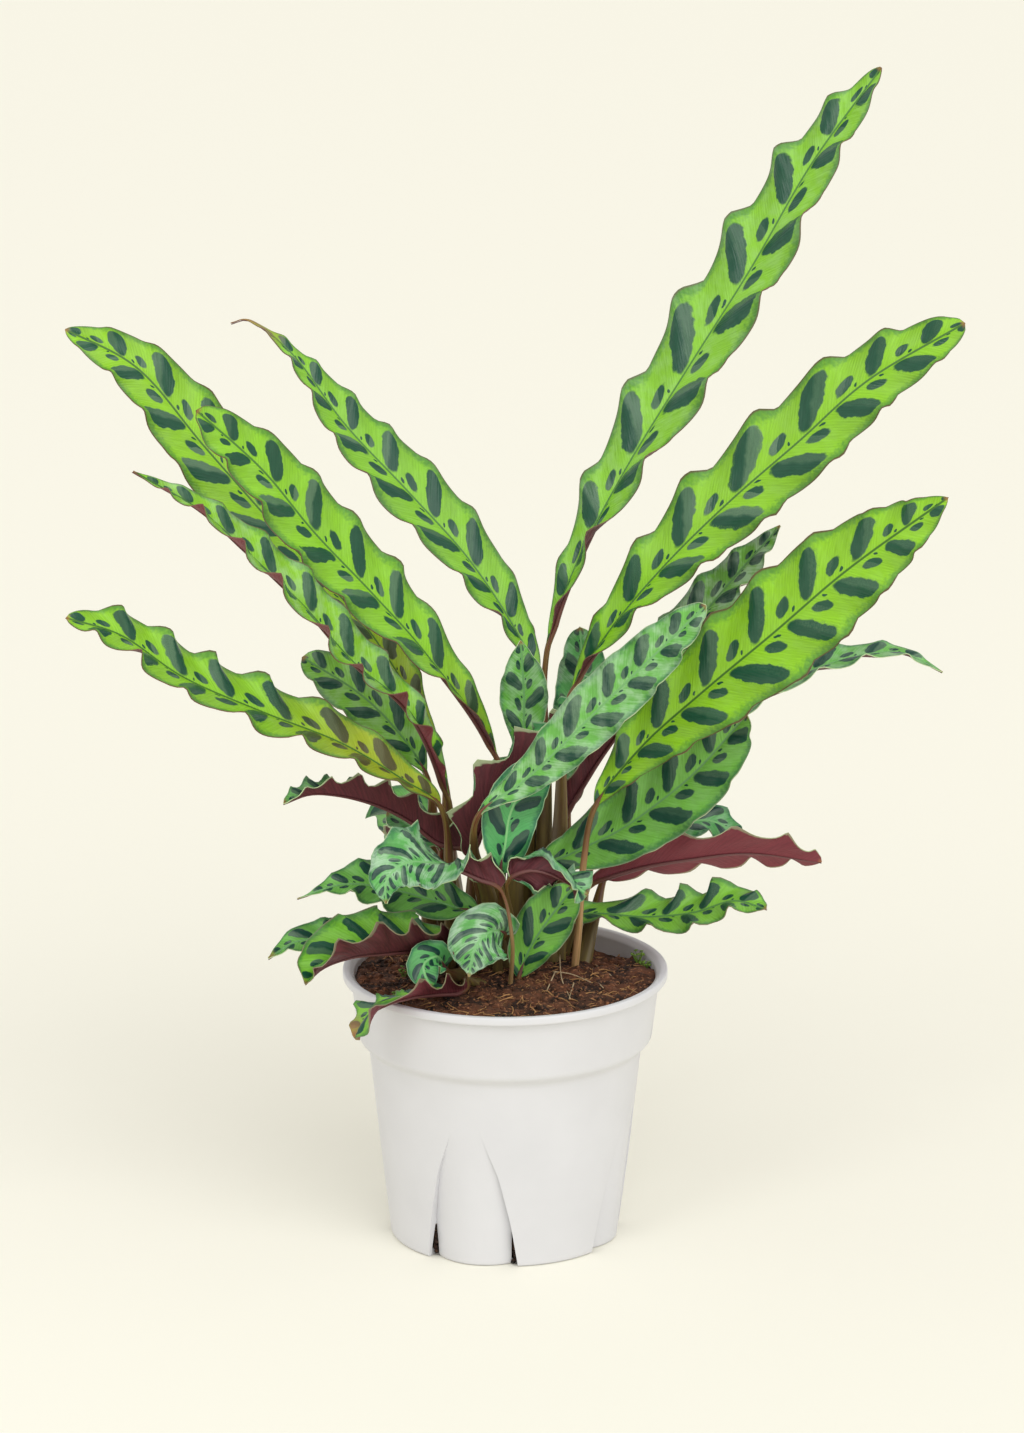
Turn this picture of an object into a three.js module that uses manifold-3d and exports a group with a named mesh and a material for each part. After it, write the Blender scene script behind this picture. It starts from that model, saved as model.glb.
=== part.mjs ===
// Rattlesnake plant in a white nursery pot, in millimetres with +Z up.
// The origin is the centre of the pot's underside. +X is the right of the plant as seen from its
// front, +Y goes away from that viewer. Each leaf is one solid: a round stalk that widens into a
// thin blade. The pot, the soil and a chip of bark on it are the other pieces.

import * as THREE from 'three';
import { mergeVertices } from 'three/addons/utils/BufferGeometryUtils.js';
import Module from 'manifold-3d';

const wasm = await Module();
wasm.setup();

// Pot
const POT_HEIGHT = 162;
const WALL = 2;
const FLOOR = 2.4;
const RIM_RADIUS = 95;
const LIP_HEIGHT = 5;
const LIP_WIDTH = 3.6;
const LIP_Z = POT_HEIGHT - LIP_HEIGHT;
const BAND_TOP_RADIUS = 90.2;
const BAND_BOTTOM_RADIUS = 86;
const BAND_BOTTOM_Z = 121;
const BODY_TOP_RADIUS = 80;
const BODY_TOP_Z = 116;
const BASE_RADIUS = 67.3;
const FOOT_ROUNDING = 2.5;
const RIM_ROUNDING = 1;
const BAND_UNDERCUT = 2;

// Four inset bulges at the foot of the pot, each with a drain slot in the step on either side
const BULGES = 4;
const BULGE_AZIMUTH = -17.5;
const BULGE_COLUMNS = 6;
const PANEL_COLUMNS = 8;
const BULGE_ROWS = [
  { z: 0, halfAngle: 24, inset: 7.5 },
  { z: FOOT_ROUNDING, halfAngle: 23.6, inset: 7.2 },
  { z: 28, halfAngle: 20, inset: 5 },
  { z: 57, halfAngle: 14.5, inset: 2.4 },
  { z: 74, halfAngle: 9.5, inset: 0.7 },
];
const PLAIN_Z = 83;
const SLOT_HEIGHT = 28;
const SLOT_DEPTH = 7;
const SLOT_WIDTH = 4.4;
const SLOT_BELOW = 1;
const BULGE_FADE = 1;

// Soil
const SOIL_EDGE_Z = 155;
const SOIL_EDGE_RADIUS = 87;
const SOIL_MIDDLE_Z = 156.5;
const SOIL_SHOULDER = { part: 0.7, drop: 1 };
const SOIL_GAP = 0.5;
const SOIL_WALL_GAP = 1.4;
const SOCKET_GAP = 0.7;
const STALK_DEPTH = 8;

// Chip of bark on the soil
const BARK_SIZE = [13, 7, 3];
const BARK_PLACE = [-13, 18, SOIL_MIDDLE_Z + 1.25];
const BARK_TURN = -20;
const BARK_TAPER = 0.35;
const BARK_SEGMENTS = [3, 2, 1];

// Leaf sections: half the stalk's thickness at the soil and at the blade, and half the blade's
const STALK_FOOT = 2.3;
const STALK_TOP = 1.7;
const BLADE_HALF_THICKNESS = 0.45;
const BLADE_SKEW = 1.1;
const BLADE_FULLNESS = 0.62;
const TIP_PART = 0.985;
const LEAF_SIDES = 8;
const STALK_RINGS = 4;
const LONG_BLADE = 110;
const LONG_BLADE_RINGS = 10;
const SHORT_BLADE_RINGS = 6;
const LENGTH_STEPS = 400;
const SOCKET_SIDES = 6;
const SOCKET_ABOVE = 5;
const VIEW = new THREE.Vector3(0, -0.96, 0.28);

// Colours and roughness
const UPPER_GREEN = 0x7fae3c;
const TEAL_GREEN = 0x4f9a5a;
const UNDERSIDE_MAROON = 0x55303a;
const POT_WHITE = 0xe9e8e3;
const SOIL_BROWN = 0x3d2a1e;
const BARK_BROWN = 0x8a6a4a;
const LEAF_ROUGHNESS = 0.4;
const POT_ROUGHNESS = 0.45;
const SOIL_ROUGHNESS = 0.95;
const BARK_ROUGHNESS = 0.9;

// The picture that the leaves are read from, in pixels: its middle and its focal length
const PICTURE_COLUMN = 512;
const PICTURE_ROW = 716.5;
const PICTURE_FOCAL = 6821;

// Where the picture was taken from: to the right of the pot's axis, in front of it and above its
// base, in millimetres, and how far the camera looks down
const CAMERA_X = 4;
const CAMERA_DISTANCE = 3790;
const CAMERA_HEIGHT = 1408;
const CAMERA_PITCH = THREE.MathUtils.degToRad(16.1);

// One row per leaf. foot is where the stalk enters the soil, and stalk holds points that the stalk
// bends through. seen holds points on the midrib from the blade's base to its tip, read off the
// picture by hand: column and row in pixels, the depth Y that was chosen for the point, and the turn
// of the upper side in degrees away from the viewer at the front. A negative turn tilts it up on a
// leaf that leans right, a positive one on a leaf that leans left, and past 90 the underside faces
// the viewer. Leaves at the back, which the picture doesn't show, have x, y, z and turn in blade
// instead. fold is how far each half of the blade is raised, in degrees.
const LEAVES = [
  {
    name: 'leaf_left_tall', foot: [-30, 60], width: 52, fold: 12, colour: UPPER_GREEN,
    stalk: [[-34, 56, 215]],
    seen: [[440, 760, 50, 40], [374, 637, 55, 35], [285, 538, 63, 28], [205, 447, 72, 26],
      [136, 366, 80, 22], [66, 329, 86, 15]],
  },
  {
    name: 'leaf_left_front', foot: [-8, 42], width: 48, fold: 16, colour: UPPER_GREEN,
    stalk: [[-2, 34, 220]],
    seen: [[499, 761, 25, 65], [428, 655, 8, 45], [375, 595, -5, 35], [315, 532, -18, 30],
      [262, 469, -30, 25], [196, 410, -42, 20]],
  },
  {
    name: 'leaf_left_twisted', foot: [-23, 36], width: 31, fold: 30, colour: UPPER_GREEN,
    stalk: [[-31, 36, 205]],
    seen: [[448, 800, 20, 70], [409, 710, -12, 58], [352, 661, -34, 52], [305, 605, -50, 55],
      [245, 549, -64, 60], [199, 509, -74, 60], [133, 471, -84, 35]],
  },
  {
    name: 'leaf_left_short', foot: [-38, 52], width: 36, fold: 12, colour: TEAL_GREEN,
    stalk: [[-42, 50, 215]],
    seen: [[426, 776, 29, 20], [393, 726, 25, 20], [360, 695, 26, 20], [303, 656, 32, 20]],
  },
  {
    name: 'leaf_left_low', foot: [-30, 26], width: 40, fold: 20, colour: UPPER_GREEN,
    stalk: [[-32, 12, 210]],
    seen: [[440, 806, -5, 40], [404, 780, -18, 40], [343, 743, -38, 40], [263, 711, -62, 48],
      [183, 676, -84, 48], [120, 634, -100, 48], [66, 617, -112, 30]],
  },
  {
    name: 'leaf_upper_left_curled', foot: [6, 65], width: 44, fold: 14, colour: UPPER_GREEN,
    stalk: [[14, 62, 240]],
    seen: [[537, 676, 57, 35], [519, 635, 69, 35], [470, 559, 87, 35], [409, 492, 104, 35],
      [346, 424, 122, 40], [289, 350, 134, 50], [247, 318, 139, 60], [230, 322, 142, 60]],
  },
  {
    name: 'leaf_centre_upright', foot: [4, 40], width: 29, fold: 14, colour: TEAL_GREEN,
    stalk: [[6, 34, 215]],
    seen: [[515, 760, 36, 10], [523, 736, 35, 5], [524, 700, 32, 0], [521, 641, 27, 0]],
  },
  {
    name: 'leaf_tallest', foot: [20, 70], width: 54, fold: 14, colour: UPPER_GREEN,
    stalk: [[23, 65, 250]],
    seen: [[547, 646, 62, -60], [577, 562, 70, -45], [625, 470, 84, -38], [690, 365, 102, -38],
      [750, 270, 118, -38], [812, 161, 136, -38], [881, 68, 150, -30]],
  },
  {
    name: 'leaf_right_tall', foot: [28, 45], width: 54, fold: 12, colour: UPPER_GREEN,
    stalk: [[32, 40, 230]],
    seen: [[570, 694, 36, -60], [604, 637, 36, -35], [660, 569, 37, -28], [727, 505, 38, -25],
      [799, 441, 38, -22], [867, 381, 38, -20], [965, 322, 36, -15]],
  },
  {
    name: 'leaf_right_bright', foot: [41, 18], width: 60, fold: 10, colour: UPPER_GREEN,
    stalk: [[43, 12, 182], [46, 1, 230]],
    seen: [[595, 807, -8, -20], [640, 748, -22, -14], [702, 693, -44, -10], [773, 633, -68, -8],
      [846, 572, -94, -8], [947, 498, -128, -8]],
  },
  {
    name: 'leaf_right_matt', foot: [32, 58], width: 38, fold: 14, colour: TEAL_GREEN,
    stalk: [[32, 55, 190]],
    seen: [[560, 830, 51, -140], [590, 770, 54, -120], [640, 700, 60, -65], [694, 624, 66, -35],
      [732, 580, 72, -30], [780, 526, 78, -25]],
  },
  {
    name: 'leaf_purple_left', foot: [-14, 32], width: 30, fold: 50, colour: UNDERSIDE_MAROON,
    stalk: [[-20, 24, 195]],
    seen: [[468, 852, 14, 110], [439, 841, 10, 108], [411, 820, 3, 106], [378, 803, -8, 104],
      [338, 793, -22, 98], [308, 794, -34, 78], [284, 803, -44, 40]],
  },
  {
    name: 'leaf_purple_centre', foot: [-6, 24], width: 46, fold: 45, colour: UNDERSIDE_MAROON,
    stalk: [[-14, 14, 200]],
    seen: [[473, 858, 2, -112], [481, 826, -5, -110], [499, 799, -9, -108], [528, 771, -9, -104],
      [566, 735, -3, -90], [637, 672, 8, -35]],
  },
  {
    name: 'leaf_teal_front', foot: [-3, 14], width: 35, fold: 12, colour: TEAL_GREEN,
    stalk: [[-10, 2, 205], [-18, -15, 238]],
    seen: [[480, 812, -35, -10], [523, 782, -38, -10], [556, 751, -48, -10], [594, 713, -58, -10],
      [641, 668, -70, -12], [706, 606, -86, -20]],
  },
  {
    name: 'leaf_teal_lower', foot: [2, 20], width: 33, fold: 14, colour: TEAL_GREEN,
    stalk: [[0, 4, 190]],
    seen: [[500, 873, -22, 15], [505, 846, -24, 10], [511, 815, -23, 5], [524, 788, -22, 0],
      [546, 762, -19, 0]],
  },
  {
    name: 'leaf_right_glossy', foot: [25, 30], width: 49, fold: 12, colour: TEAL_GREEN,
    stalk: [[20, 26, 180]],
    seen: [[540, 872, 22, -20], [573, 853, 19, -18], [619, 831, 13, -18], [656, 804, 4, -15],
      [696, 772, -8, -12], [747, 714, -26, -5]],
  },
  {
    name: 'leaf_purple_right', foot: [35, 48], width: 36, fold: 12, colour: UNDERSIDE_MAROON,
    stalk: [[40, 45, 175]],
    seen: [[590, 886, 43, -140], [631, 868, 45, -132], [685, 858, 49, -128], [750, 852, 55, -125],
      [822, 862, 62, -120]],
  },
  {
    name: 'leaf_curled_centre', foot: [11, 3], width: 30, fold: 16, colour: TEAL_GREEN,
    stalk: [[4, -2, 192]],
    seen: [[511, 880, -30, -150], [536, 866, -36, -120], [560, 872, -40, -60],
      [588, 893, -42, -10]],
  },
  {
    name: 'leaf_right_low', foot: [22, 40], width: 30, fold: 14, colour: TEAL_GREEN,
    stalk: [[21, 38, 164]],
    seen: [[540, 930, 34, -45], [586, 914, 29, -45], [649, 917, 18, -45], [696, 911, 2, -45],
      [734, 900, -14, -40], [766, 908, -30, -35]],
  },
  {
    name: 'leaf_front_upright', foot: [8, -9], width: 33, fold: 14, colour: TEAL_GREEN,
    stalk: [],
    seen: [[519, 977, -9, -10], [530, 950, -8, -10], [546, 922, -6, -10], [574, 886, -3, -10]],
  },
  {
    name: 'leaf_shell_front', foot: [-4, 4], width: 38, fold: 10, colour: TEAL_GREEN,
    stalk: [[-5, -6, 178]],
    seen: [[505, 933, -18, 0], [490, 932, -37, 0], [476, 946, -45, 0], [469, 977, -50, 0]],
  },
  {
    name: 'leaf_shell_left', foot: [3, -19], width: 44, fold: 14, colour: TEAL_GREEN,
    stalk: [[4, -33, 190]],
    seen: [[500, 888, -29, 118], [468, 872, -30, 100], [434, 862, -42, 50], [404, 864, -54, 15],
      [386, 880, -62, 5], [387, 904, -64, 10]],
  },
  {
    name: 'leaf_left_behind_shell', foot: [-22, 6], width: 38, fold: 14, colour: TEAL_GREEN,
    stalk: [[-20, 4, 185]],
    seen: [[474, 914, 2, 30], [452, 906, 0, 32], [422, 897, -4, 36], [388, 888, -10, 40],
      [345, 884, -20, 40], [297, 899, -32, 35]],
  },
  {
    name: 'leaf_left_rim_back', foot: [-38, 30], width: 23, fold: 14, colour: TEAL_GREEN,
    stalk: [],
    seen: [[420, 930, 8, 30], [375, 930, -2, 30], [330, 936, -14, 30], [295, 942, -24, 30],
      [268, 958, -34, 30]],
  },
  {
    name: 'leaf_left_rim', foot: [-32, 14], width: 52, fold: 58, colour: TEAL_GREEN,
    stalk: [],
    seen: [[450, 945, -16, 66], [422, 949, -34, 66], [387, 951, -52, 66], [350, 957, -70, 62],
      [322, 968, -82, 50], [305, 984, -90, 25]],
  },
  {
    name: 'leaf_small_dark', foot: [-28, -6], width: 22, fold: 10, colour: TEAL_GREEN,
    stalk: [],
    seen: [[447, 970, -34, 20], [437, 957, -45, 15], [423, 965, -56, 5], [430, 988, -61, 0]],
  },
  {
    name: 'leaf_over_rim', foot: [-18, -14], width: 34, fold: 12, colour: UNDERSIDE_MAROON,
    stalk: [[-22, -21, 160]],
    seen: [[466, 989, -36, 104], [440, 992, -56, 102], [412, 996, -74, 98], [388, 1003, -84, 88],
      [368, 1014, -86, 70], [354, 1036, -80, 50]],
  },
  {
    name: 'leaf_right_far', foot: [40, 60], width: 28, fold: 14, colour: TEAL_GREEN,
    stalk: [[50, 62, 205]],
    seen: [[620, 800, 66, -60], [700, 735, 76, -60], [770, 692, 86, -62], [815, 668, 93, -64],
      [868, 653, 101, -64], [903, 652, 106, -60], [943, 672, 110, -50]],
  },
  {
    name: 'leaf_small_right', foot: [46, 40], width: 28, fold: 14, colour: TEAL_GREEN,
    stalk: [[53, 48, 180]],
    seen: [[610, 868, 56, -40], [660, 836, 62, -40], [705, 820, 68, -40], [744, 835, 72, -35]],
  },
  {
    name: 'leaf_small_left', foot: [-42, 38], width: 28, fold: 14, colour: TEAL_GREEN,
    stalk: [[-45, 37, 190]],
    seen: [[441, 850, 31, 30], [430, 840, 31, 30], [411, 826, 29, 30], [388, 812, 27, 30]],
  },
  {
    name: 'leaf_centre_back', foot: [31, 72], width: 34, fold: 14, colour: TEAL_GREEN,
    stalk: [[35, 75, 195]],
    seen: [[570, 800, 78, 0], [578, 740, 82, 0], [583, 680, 84, 0], [580, 628, 82, 0]],
  },
  {
    name: 'leaf_back_left', foot: [-32, 70], width: 36, fold: 14, colour: TEAL_GREEN,
    stalk: [[-36, 78, 184]],
    blade: [[-41, 90, 205, 20], [-54, 118, 214, 20], [-66, 148, 210, 20], [-74, 172, 190, 20]],
  },
  {
    name: 'leaf_back_middle', foot: [6, 76], width: 40, fold: 14, colour: TEAL_GREEN,
    stalk: [[6, 84, 190]],
    blade: [[5, 102, 212, 0], [3, 138, 226, 0], [1, 176, 216, 0], [-1, 208, 192, 0]],
  },
  {
    name: 'leaf_back_right', foot: [42, 66], width: 36, fold: 14, colour: TEAL_GREEN,
    stalk: [[46, 74, 185]],
    blade: [[52, 88, 206, -20], [72, 116, 222, -20], [90, 144, 220, -20], [105, 165, 205, -20]],
  },
];

// The place of a point seen in the picture, to a millimetre, from the depth chosen for it
function placeSeen([column, row, depth, turn]) {
  const away = CAMERA_DISTANCE + depth;
  const dip = CAMERA_PITCH + Math.atan((row - PICTURE_ROW) / PICTURE_FOCAL);
  const drop = away * Math.tan(dip);
  const distance = away * Math.cos(CAMERA_PITCH) + drop * Math.sin(CAMERA_PITCH);
  const aside = ((column - PICTURE_COLUMN) / PICTURE_FOCAL) * distance;
  return [Math.round(CAMERA_X + aside), depth, Math.round(CAMERA_HEIGHT - drop), turn];
}

for (const leaf of LEAVES) leaf.blade ??= leaf.seen.map(placeSeen);

const MERGE_DISTANCE = 1e-3;
const plant = new THREE.Group();

function addPiece(name, geometry, colour, roughness) {
  const material = new THREE.MeshStandardMaterial({ color: colour, roughness, metalness: 0 });
  const mesh = new THREE.Mesh(geometry, material);
  mesh.name = name;
  plant.add(mesh);
}

function toSolid(geometry) {
  const bare = geometry.clone();
  bare.deleteAttribute('normal');
  bare.deleteAttribute('uv');
  const merged = mergeVertices(bare, MERGE_DISTANCE);
  return new wasm.Manifold(new wasm.Mesh({
    numProp: 3,
    vertProperties: new Float32Array(merged.attributes.position.array),
    triVerts: new Uint32Array(merged.index.array),
  }));
}

function toGeometry(solid) {
  const { vertProperties, triVerts } = solid.getMesh();
  const geometry = new THREE.BufferGeometry();
  geometry.setAttribute('position', new THREE.BufferAttribute(vertProperties, 3));
  geometry.setIndex(new THREE.BufferAttribute(triVerts, 1));
  geometry.computeVertexNormals();
  return geometry;
}

// Radius of the plain cone of the pot's body at height z
function bodyRadius(z) {
  return BASE_RADIUS + ((BODY_TOP_RADIUS - BASE_RADIUS) * z) / BODY_TOP_Z;
}

// How far the bulge at height z reaches round the pot, and how deep its sides are set in
function bulgeAt(z) {
  const last = BULGE_ROWS[BULGE_ROWS.length - 1];
  if (z > last.z + BULGE_FADE) return null;
  let above = BULGE_ROWS.findIndex((row) => row.z >= z);
  if (above < 0) above = BULGE_ROWS.length - 1;
  const high = BULGE_ROWS[above];
  const low = BULGE_ROWS[Math.max(above - 1, 0)];
  const part = high.z > low.z ? THREE.MathUtils.clamp((z - low.z) / (high.z - low.z), 0, 1) : 0;
  return {
    halfAngle: THREE.MathUtils.lerp(low.halfAngle, high.halfAngle, part),
    inset: THREE.MathUtils.lerp(low.inset, high.inset, part),
  };
}

// Turns a profile about the pot's axis, with the bulges pushed in where it is a side wall. Each
// row is [radius, z, shift]: shift moves the steps round the pot, so that walls keep their thickness.
function turnProfile(profile) {
  const columns = BULGE_COLUMNS + PANEL_COLUMNS;
  const pitch = 360 / BULGES / columns;
  const points = profile.map(([radius, z]) => new THREE.Vector2(radius, z));
  const shape = new THREE.LatheGeometry(points, BULGES * columns);
  const at = shape.attributes.position;
  for (let i = 0; i < at.count; i++) {
    const [plainRadius, z, shift] = profile[i % profile.length];
    const column = Math.floor(i / profile.length) % (BULGES * columns);
    const bulge = Math.floor(column / columns);
    const local = column % columns;
    const shaped = plainRadius > BASE_RADIUS / 2 ? bulgeAt(z) : null;
    let radius = plainRadius;
    let angle = (local - (BULGE_COLUMNS - 1) / 2) * pitch;
    if (shaped) {
      const half = shaped.halfAngle + THREE.MathUtils.radToDeg(shift / radius);
      if (local < BULGE_COLUMNS) {
        const across = (2 * local) / (BULGE_COLUMNS - 1) - 1;
        angle = half * across;
        radius -= shaped.inset * (angle / shaped.halfAngle) ** 2;
      } else {
        const along = (local - BULGE_COLUMNS) / (PANEL_COLUMNS - 1);
        angle = half + (360 / BULGES - 2 * half) * along;
      }
    }
    const turn = THREE.MathUtils.degToRad(BULGE_AZIMUTH + (bulge * 360) / BULGES + angle);
    at.setXYZ(i, radius * Math.sin(turn), z, radius * Math.cos(turn));
  }
  shape.rotateX(Math.PI / 2);
  return shape;
}

// A drain slot goes through the step at one side of a bulge: side is -1 or 1
function drainSlot(bulge, side) {
  const slot = new THREE.BoxGeometry(SLOT_WIDTH, SLOT_DEPTH, SLOT_HEIGHT + SLOT_BELOW);
  const middleZ = SLOT_HEIGHT / 2;
  const radius = BASE_RADIUS - WALL - SLOT_DEPTH / 2;
  slot.translate(side * (SLOT_WIDTH / 4), -radius, middleZ - SLOT_BELOW / 2);
  const turn = BULGE_AZIMUTH + (bulge * 360) / BULGES + side * bulgeAt(middleZ).halfAngle;
  slot.rotateZ(THREE.MathUtils.degToRad(turn));
  return toSolid(slot);
}

function makePot() {
  const bulgeWall = BULGE_ROWS.slice(2).map(({ z }) => [bodyRadius(z), z, 0]);
  const outside = [
    [0, 0, 0],
    [BASE_RADIUS - FOOT_ROUNDING, 0, 0],
    [bodyRadius(FOOT_ROUNDING), FOOT_ROUNDING, 0],
    ...bulgeWall,
    [bodyRadius(PLAIN_Z), PLAIN_Z, 0],
    [BODY_TOP_RADIUS, BODY_TOP_Z, 0],
    [BAND_BOTTOM_RADIUS - BAND_UNDERCUT / 2, BAND_BOTTOM_Z - BAND_UNDERCUT, 0],
    [BAND_BOTTOM_RADIUS, BAND_BOTTOM_Z, 0],
    [BAND_TOP_RADIUS, LIP_Z, 0],
    [RIM_RADIUS, LIP_Z, 0],
    [RIM_RADIUS, POT_HEIGHT - RIM_ROUNDING, 0],
    [RIM_RADIUS - RIM_ROUNDING, POT_HEIGHT, 0],
  ];
  const inside = [
    [RIM_RADIUS - LIP_WIDTH, POT_HEIGHT, 0],
    [BAND_TOP_RADIUS - WALL, LIP_Z + WALL, 0],
    [BAND_BOTTOM_RADIUS - WALL, BAND_BOTTOM_Z + 1, 0],
    [BODY_TOP_RADIUS - WALL, BODY_TOP_Z, 0],
    [bodyRadius(PLAIN_Z) - WALL, PLAIN_Z, 0],
    ...bulgeWall.reverse().map(([radius, z]) => [radius - WALL, z, WALL]),
    [bodyRadius(FLOOR) - WALL, FLOOR, WALL],
    [0, FLOOR, 0],
  ];
  let pot = toSolid(turnProfile([...outside, ...inside]));
  for (let bulge = 0; bulge < BULGES; bulge++) {
    pot = pot.subtract(drainSlot(bulge, -1)).subtract(drainSlot(bulge, 1));
  }
  return toGeometry(pot);
}

// Gives the lower half of a cylinder's skin the same diagonals as the upper half facing it, so
// that the two sides of a thin twisted blade don't cross. Each quad is two triangles in the index.
function matchDiagonals(index, rings, sides) {
  for (let sector = 0; sector < sides; sector++) {
    if (Math.cos((2 * Math.PI * (sector + 0.5)) / sides) >= 0) continue;
    for (let ring = 0; ring < rings; ring++) {
      const first = 6 * (sector * rings + ring);
      const [a, b, d] = [0, 1, 2].map((k) => index.getX(first + k));
      const c = index.getX(first + 4);
      [a, b, c, a, c, d].forEach((corner, k) => index.setX(first + k, corner));
    }
  }
}

// Wraps a closed cylinder's skin round a path. place(ring, angle, reach) gives the point at that
// ring, at that angle round it, where reach is 1 on the skin and 0 in the middle of an end cap.
function wrap(rings, sides, place) {
  const shape = new THREE.CylinderGeometry(1, 1, rings, sides, rings);
  const at = shape.attributes.position;
  const step = (2 * Math.PI) / sides;
  matchDiagonals(shape.index, rings, sides);
  for (let i = 0; i < at.count; i++) {
    const ring = Math.round(at.getY(i) + rings / 2);
    const angle = step * ((Math.round(Math.atan2(at.getX(i), at.getZ(i)) / step) + sides) % sides);
    const reach = Math.round(Math.hypot(at.getX(i), at.getZ(i)));
    const point = place(ring, angle, reach);
    at.setXYZ(i, point.x, point.y, point.z);
  }
  return shape;
}

// The leaf's middle line from the stalk's foot in the soil to the tip, with the part of its
// length at which each blade point lies
function leafLine(leaf) {
  const [footX, footY] = leaf.foot;
  const next = new THREE.Vector3(...(leaf.stalk[0] ?? leaf.blade[0]).slice(0, 3));
  const foot = new THREE.Vector3(footX, footY, SOIL_MIDDLE_Z);
  const down = foot.clone().sub(next).setLength(STALK_DEPTH);
  const points = [
    foot.clone().add(down),
    foot,
    ...leaf.stalk.map((point) => new THREE.Vector3(...point)),
    ...leaf.blade.map(([x, y, z]) => new THREE.Vector3(x, y, z)),
  ];
  const curve = new THREE.CatmullRomCurve3(points, false, 'centripetal');
  const lengths = curve.getLengths(LENGTH_STEPS);
  const total = lengths[LENGTH_STEPS];
  const parts = points.map((_, i) => {
    const step = Math.round((i * LENGTH_STEPS) / (points.length - 1));
    return lengths[step] / total;
  });
  return { curve, total, parts: parts.slice(parts.length - leaf.blade.length) };
}

// The turn of the upper side, in degrees, at part u of the leaf's line
function turnAt(leaf, parts, u) {
  const after = parts.findIndex((part) => part >= u);
  if (after <= 0) return after === 0 ? leaf.blade[0][3] : leaf.blade[leaf.blade.length - 1][3];
  const along = (u - parts[after - 1]) / (parts[after] - parts[after - 1]);
  return THREE.MathUtils.lerp(leaf.blade[after - 1][3], leaf.blade[after][3], along);
}

// Half the blade's width at part t of the blade, as a share of its widest
function outline(t) {
  return Math.sin(Math.PI * t ** BLADE_SKEW) ** BLADE_FULLNESS;
}

function makeLeaf(leaf) {
  const { curve, total, parts } = leafLine(leaf);
  const base = parts[0];
  const bladeRings = total * (1 - base) > LONG_BLADE ? LONG_BLADE_RINGS : SHORT_BLADE_RINGS;
  const lift = Math.tan(THREE.MathUtils.degToRad(leaf.fold));
  return wrap(STALK_RINGS + bladeRings, LEAF_SIDES, (ring, angle, reach) => {
    const onBlade = Math.max(ring - STALK_RINGS, 0) / bladeRings;
    const u = ring < STALK_RINGS ? (base * ring) / STALK_RINGS : base + (1 - base) * onBlade;
    const middle = curve.getPointAt(Math.min(u, 1));
    const along = curve.getTangentAt(Math.min(u, 1));
    const front = VIEW.clone().addScaledVector(along, -VIEW.dot(along)).normalize();
    const side = along.clone().cross(front);
    const turn = THREE.MathUtils.degToRad(turnAt(leaf, parts, u));
    const up = front.multiplyScalar(Math.cos(turn)).addScaledVector(side, Math.sin(turn));
    const right = along.clone().cross(up);
    const stalk = THREE.MathUtils.lerp(STALK_FOOT, STALK_TOP, Math.min(u / base, 1));
    const spread = (leaf.width / 2) * outline(Math.min(onBlade, TIP_PART));
    const across = reach * Math.sin(angle) * Math.max(spread, onBlade ? 0 : stalk);
    const thick = onBlade ? BLADE_HALF_THICKNESS : stalk;
    const raise = onBlade ? Math.abs(across) * lift : 0;
    return middle
      .addScaledVector(right, across)
      .addScaledVector(up, raise + reach * Math.cos(angle) * thick);
  });
}

// The hole that a leaf's stalk stands in
function makeSocket(leaf) {
  const { curve, total } = leafLine(leaf);
  const top = (STALK_DEPTH + SOCKET_ABOVE) / total;
  return toSolid(wrap(1, SOCKET_SIDES, (ring, angle, reach) => {
    const u = top * ring;
    const along = curve.getTangentAt(u);
    const middle = curve.getPointAt(u);
    if (ring === 0) middle.addScaledVector(along, -SOCKET_GAP);
    const front = VIEW.clone().addScaledVector(along, -VIEW.dot(along)).normalize();
    const right = along.clone().cross(front);
    const radius = reach * (STALK_FOOT + SOCKET_GAP);
    return middle
      .addScaledVector(right, Math.sin(angle) * radius)
      .addScaledVector(front, Math.cos(angle) * radius);
  }));
}

function makeSoil() {
  const inset = WALL + SOIL_WALL_GAP;
  const wall = BULGE_ROWS.slice(2).map(({ z }) => [bodyRadius(z) - inset, z, inset]);
  const profile = [
    [0, FLOOR + SOIL_GAP, 0],
    [bodyRadius(FLOOR + SOIL_GAP) - inset, FLOOR + SOIL_GAP, inset],
    ...wall,
    [bodyRadius(PLAIN_Z) - inset, PLAIN_Z, 0],
    [BODY_TOP_RADIUS - inset, BODY_TOP_Z, 0],
    [BAND_BOTTOM_RADIUS - inset - SOIL_GAP, BAND_BOTTOM_Z + 1, 0],
    [SOIL_EDGE_RADIUS, SOIL_EDGE_Z, 0],
    [SOIL_EDGE_RADIUS * SOIL_SHOULDER.part, SOIL_MIDDLE_Z - SOIL_SHOULDER.drop, 0],
    [0, SOIL_MIDDLE_Z, 0],
  ];
  let soil = toSolid(turnProfile(profile));
  for (const leaf of LEAVES) soil = soil.subtract(makeSocket(leaf));
  return toGeometry(soil);
}

function makeBarkChip() {
  const chip = new THREE.BoxGeometry(...BARK_SIZE, ...BARK_SEGMENTS);
  const at = chip.attributes.position;
  for (let i = 0; i < at.count; i++) {
    const taper = 1 - BARK_TAPER * Math.abs((2 * at.getX(i)) / BARK_SIZE[0]);
    at.setXYZ(i, at.getX(i), at.getY(i) * taper, at.getZ(i) * taper);
  }
  chip.rotateZ(THREE.MathUtils.degToRad(BARK_TURN));
  chip.translate(...BARK_PLACE);
  return chip;
}

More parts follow.
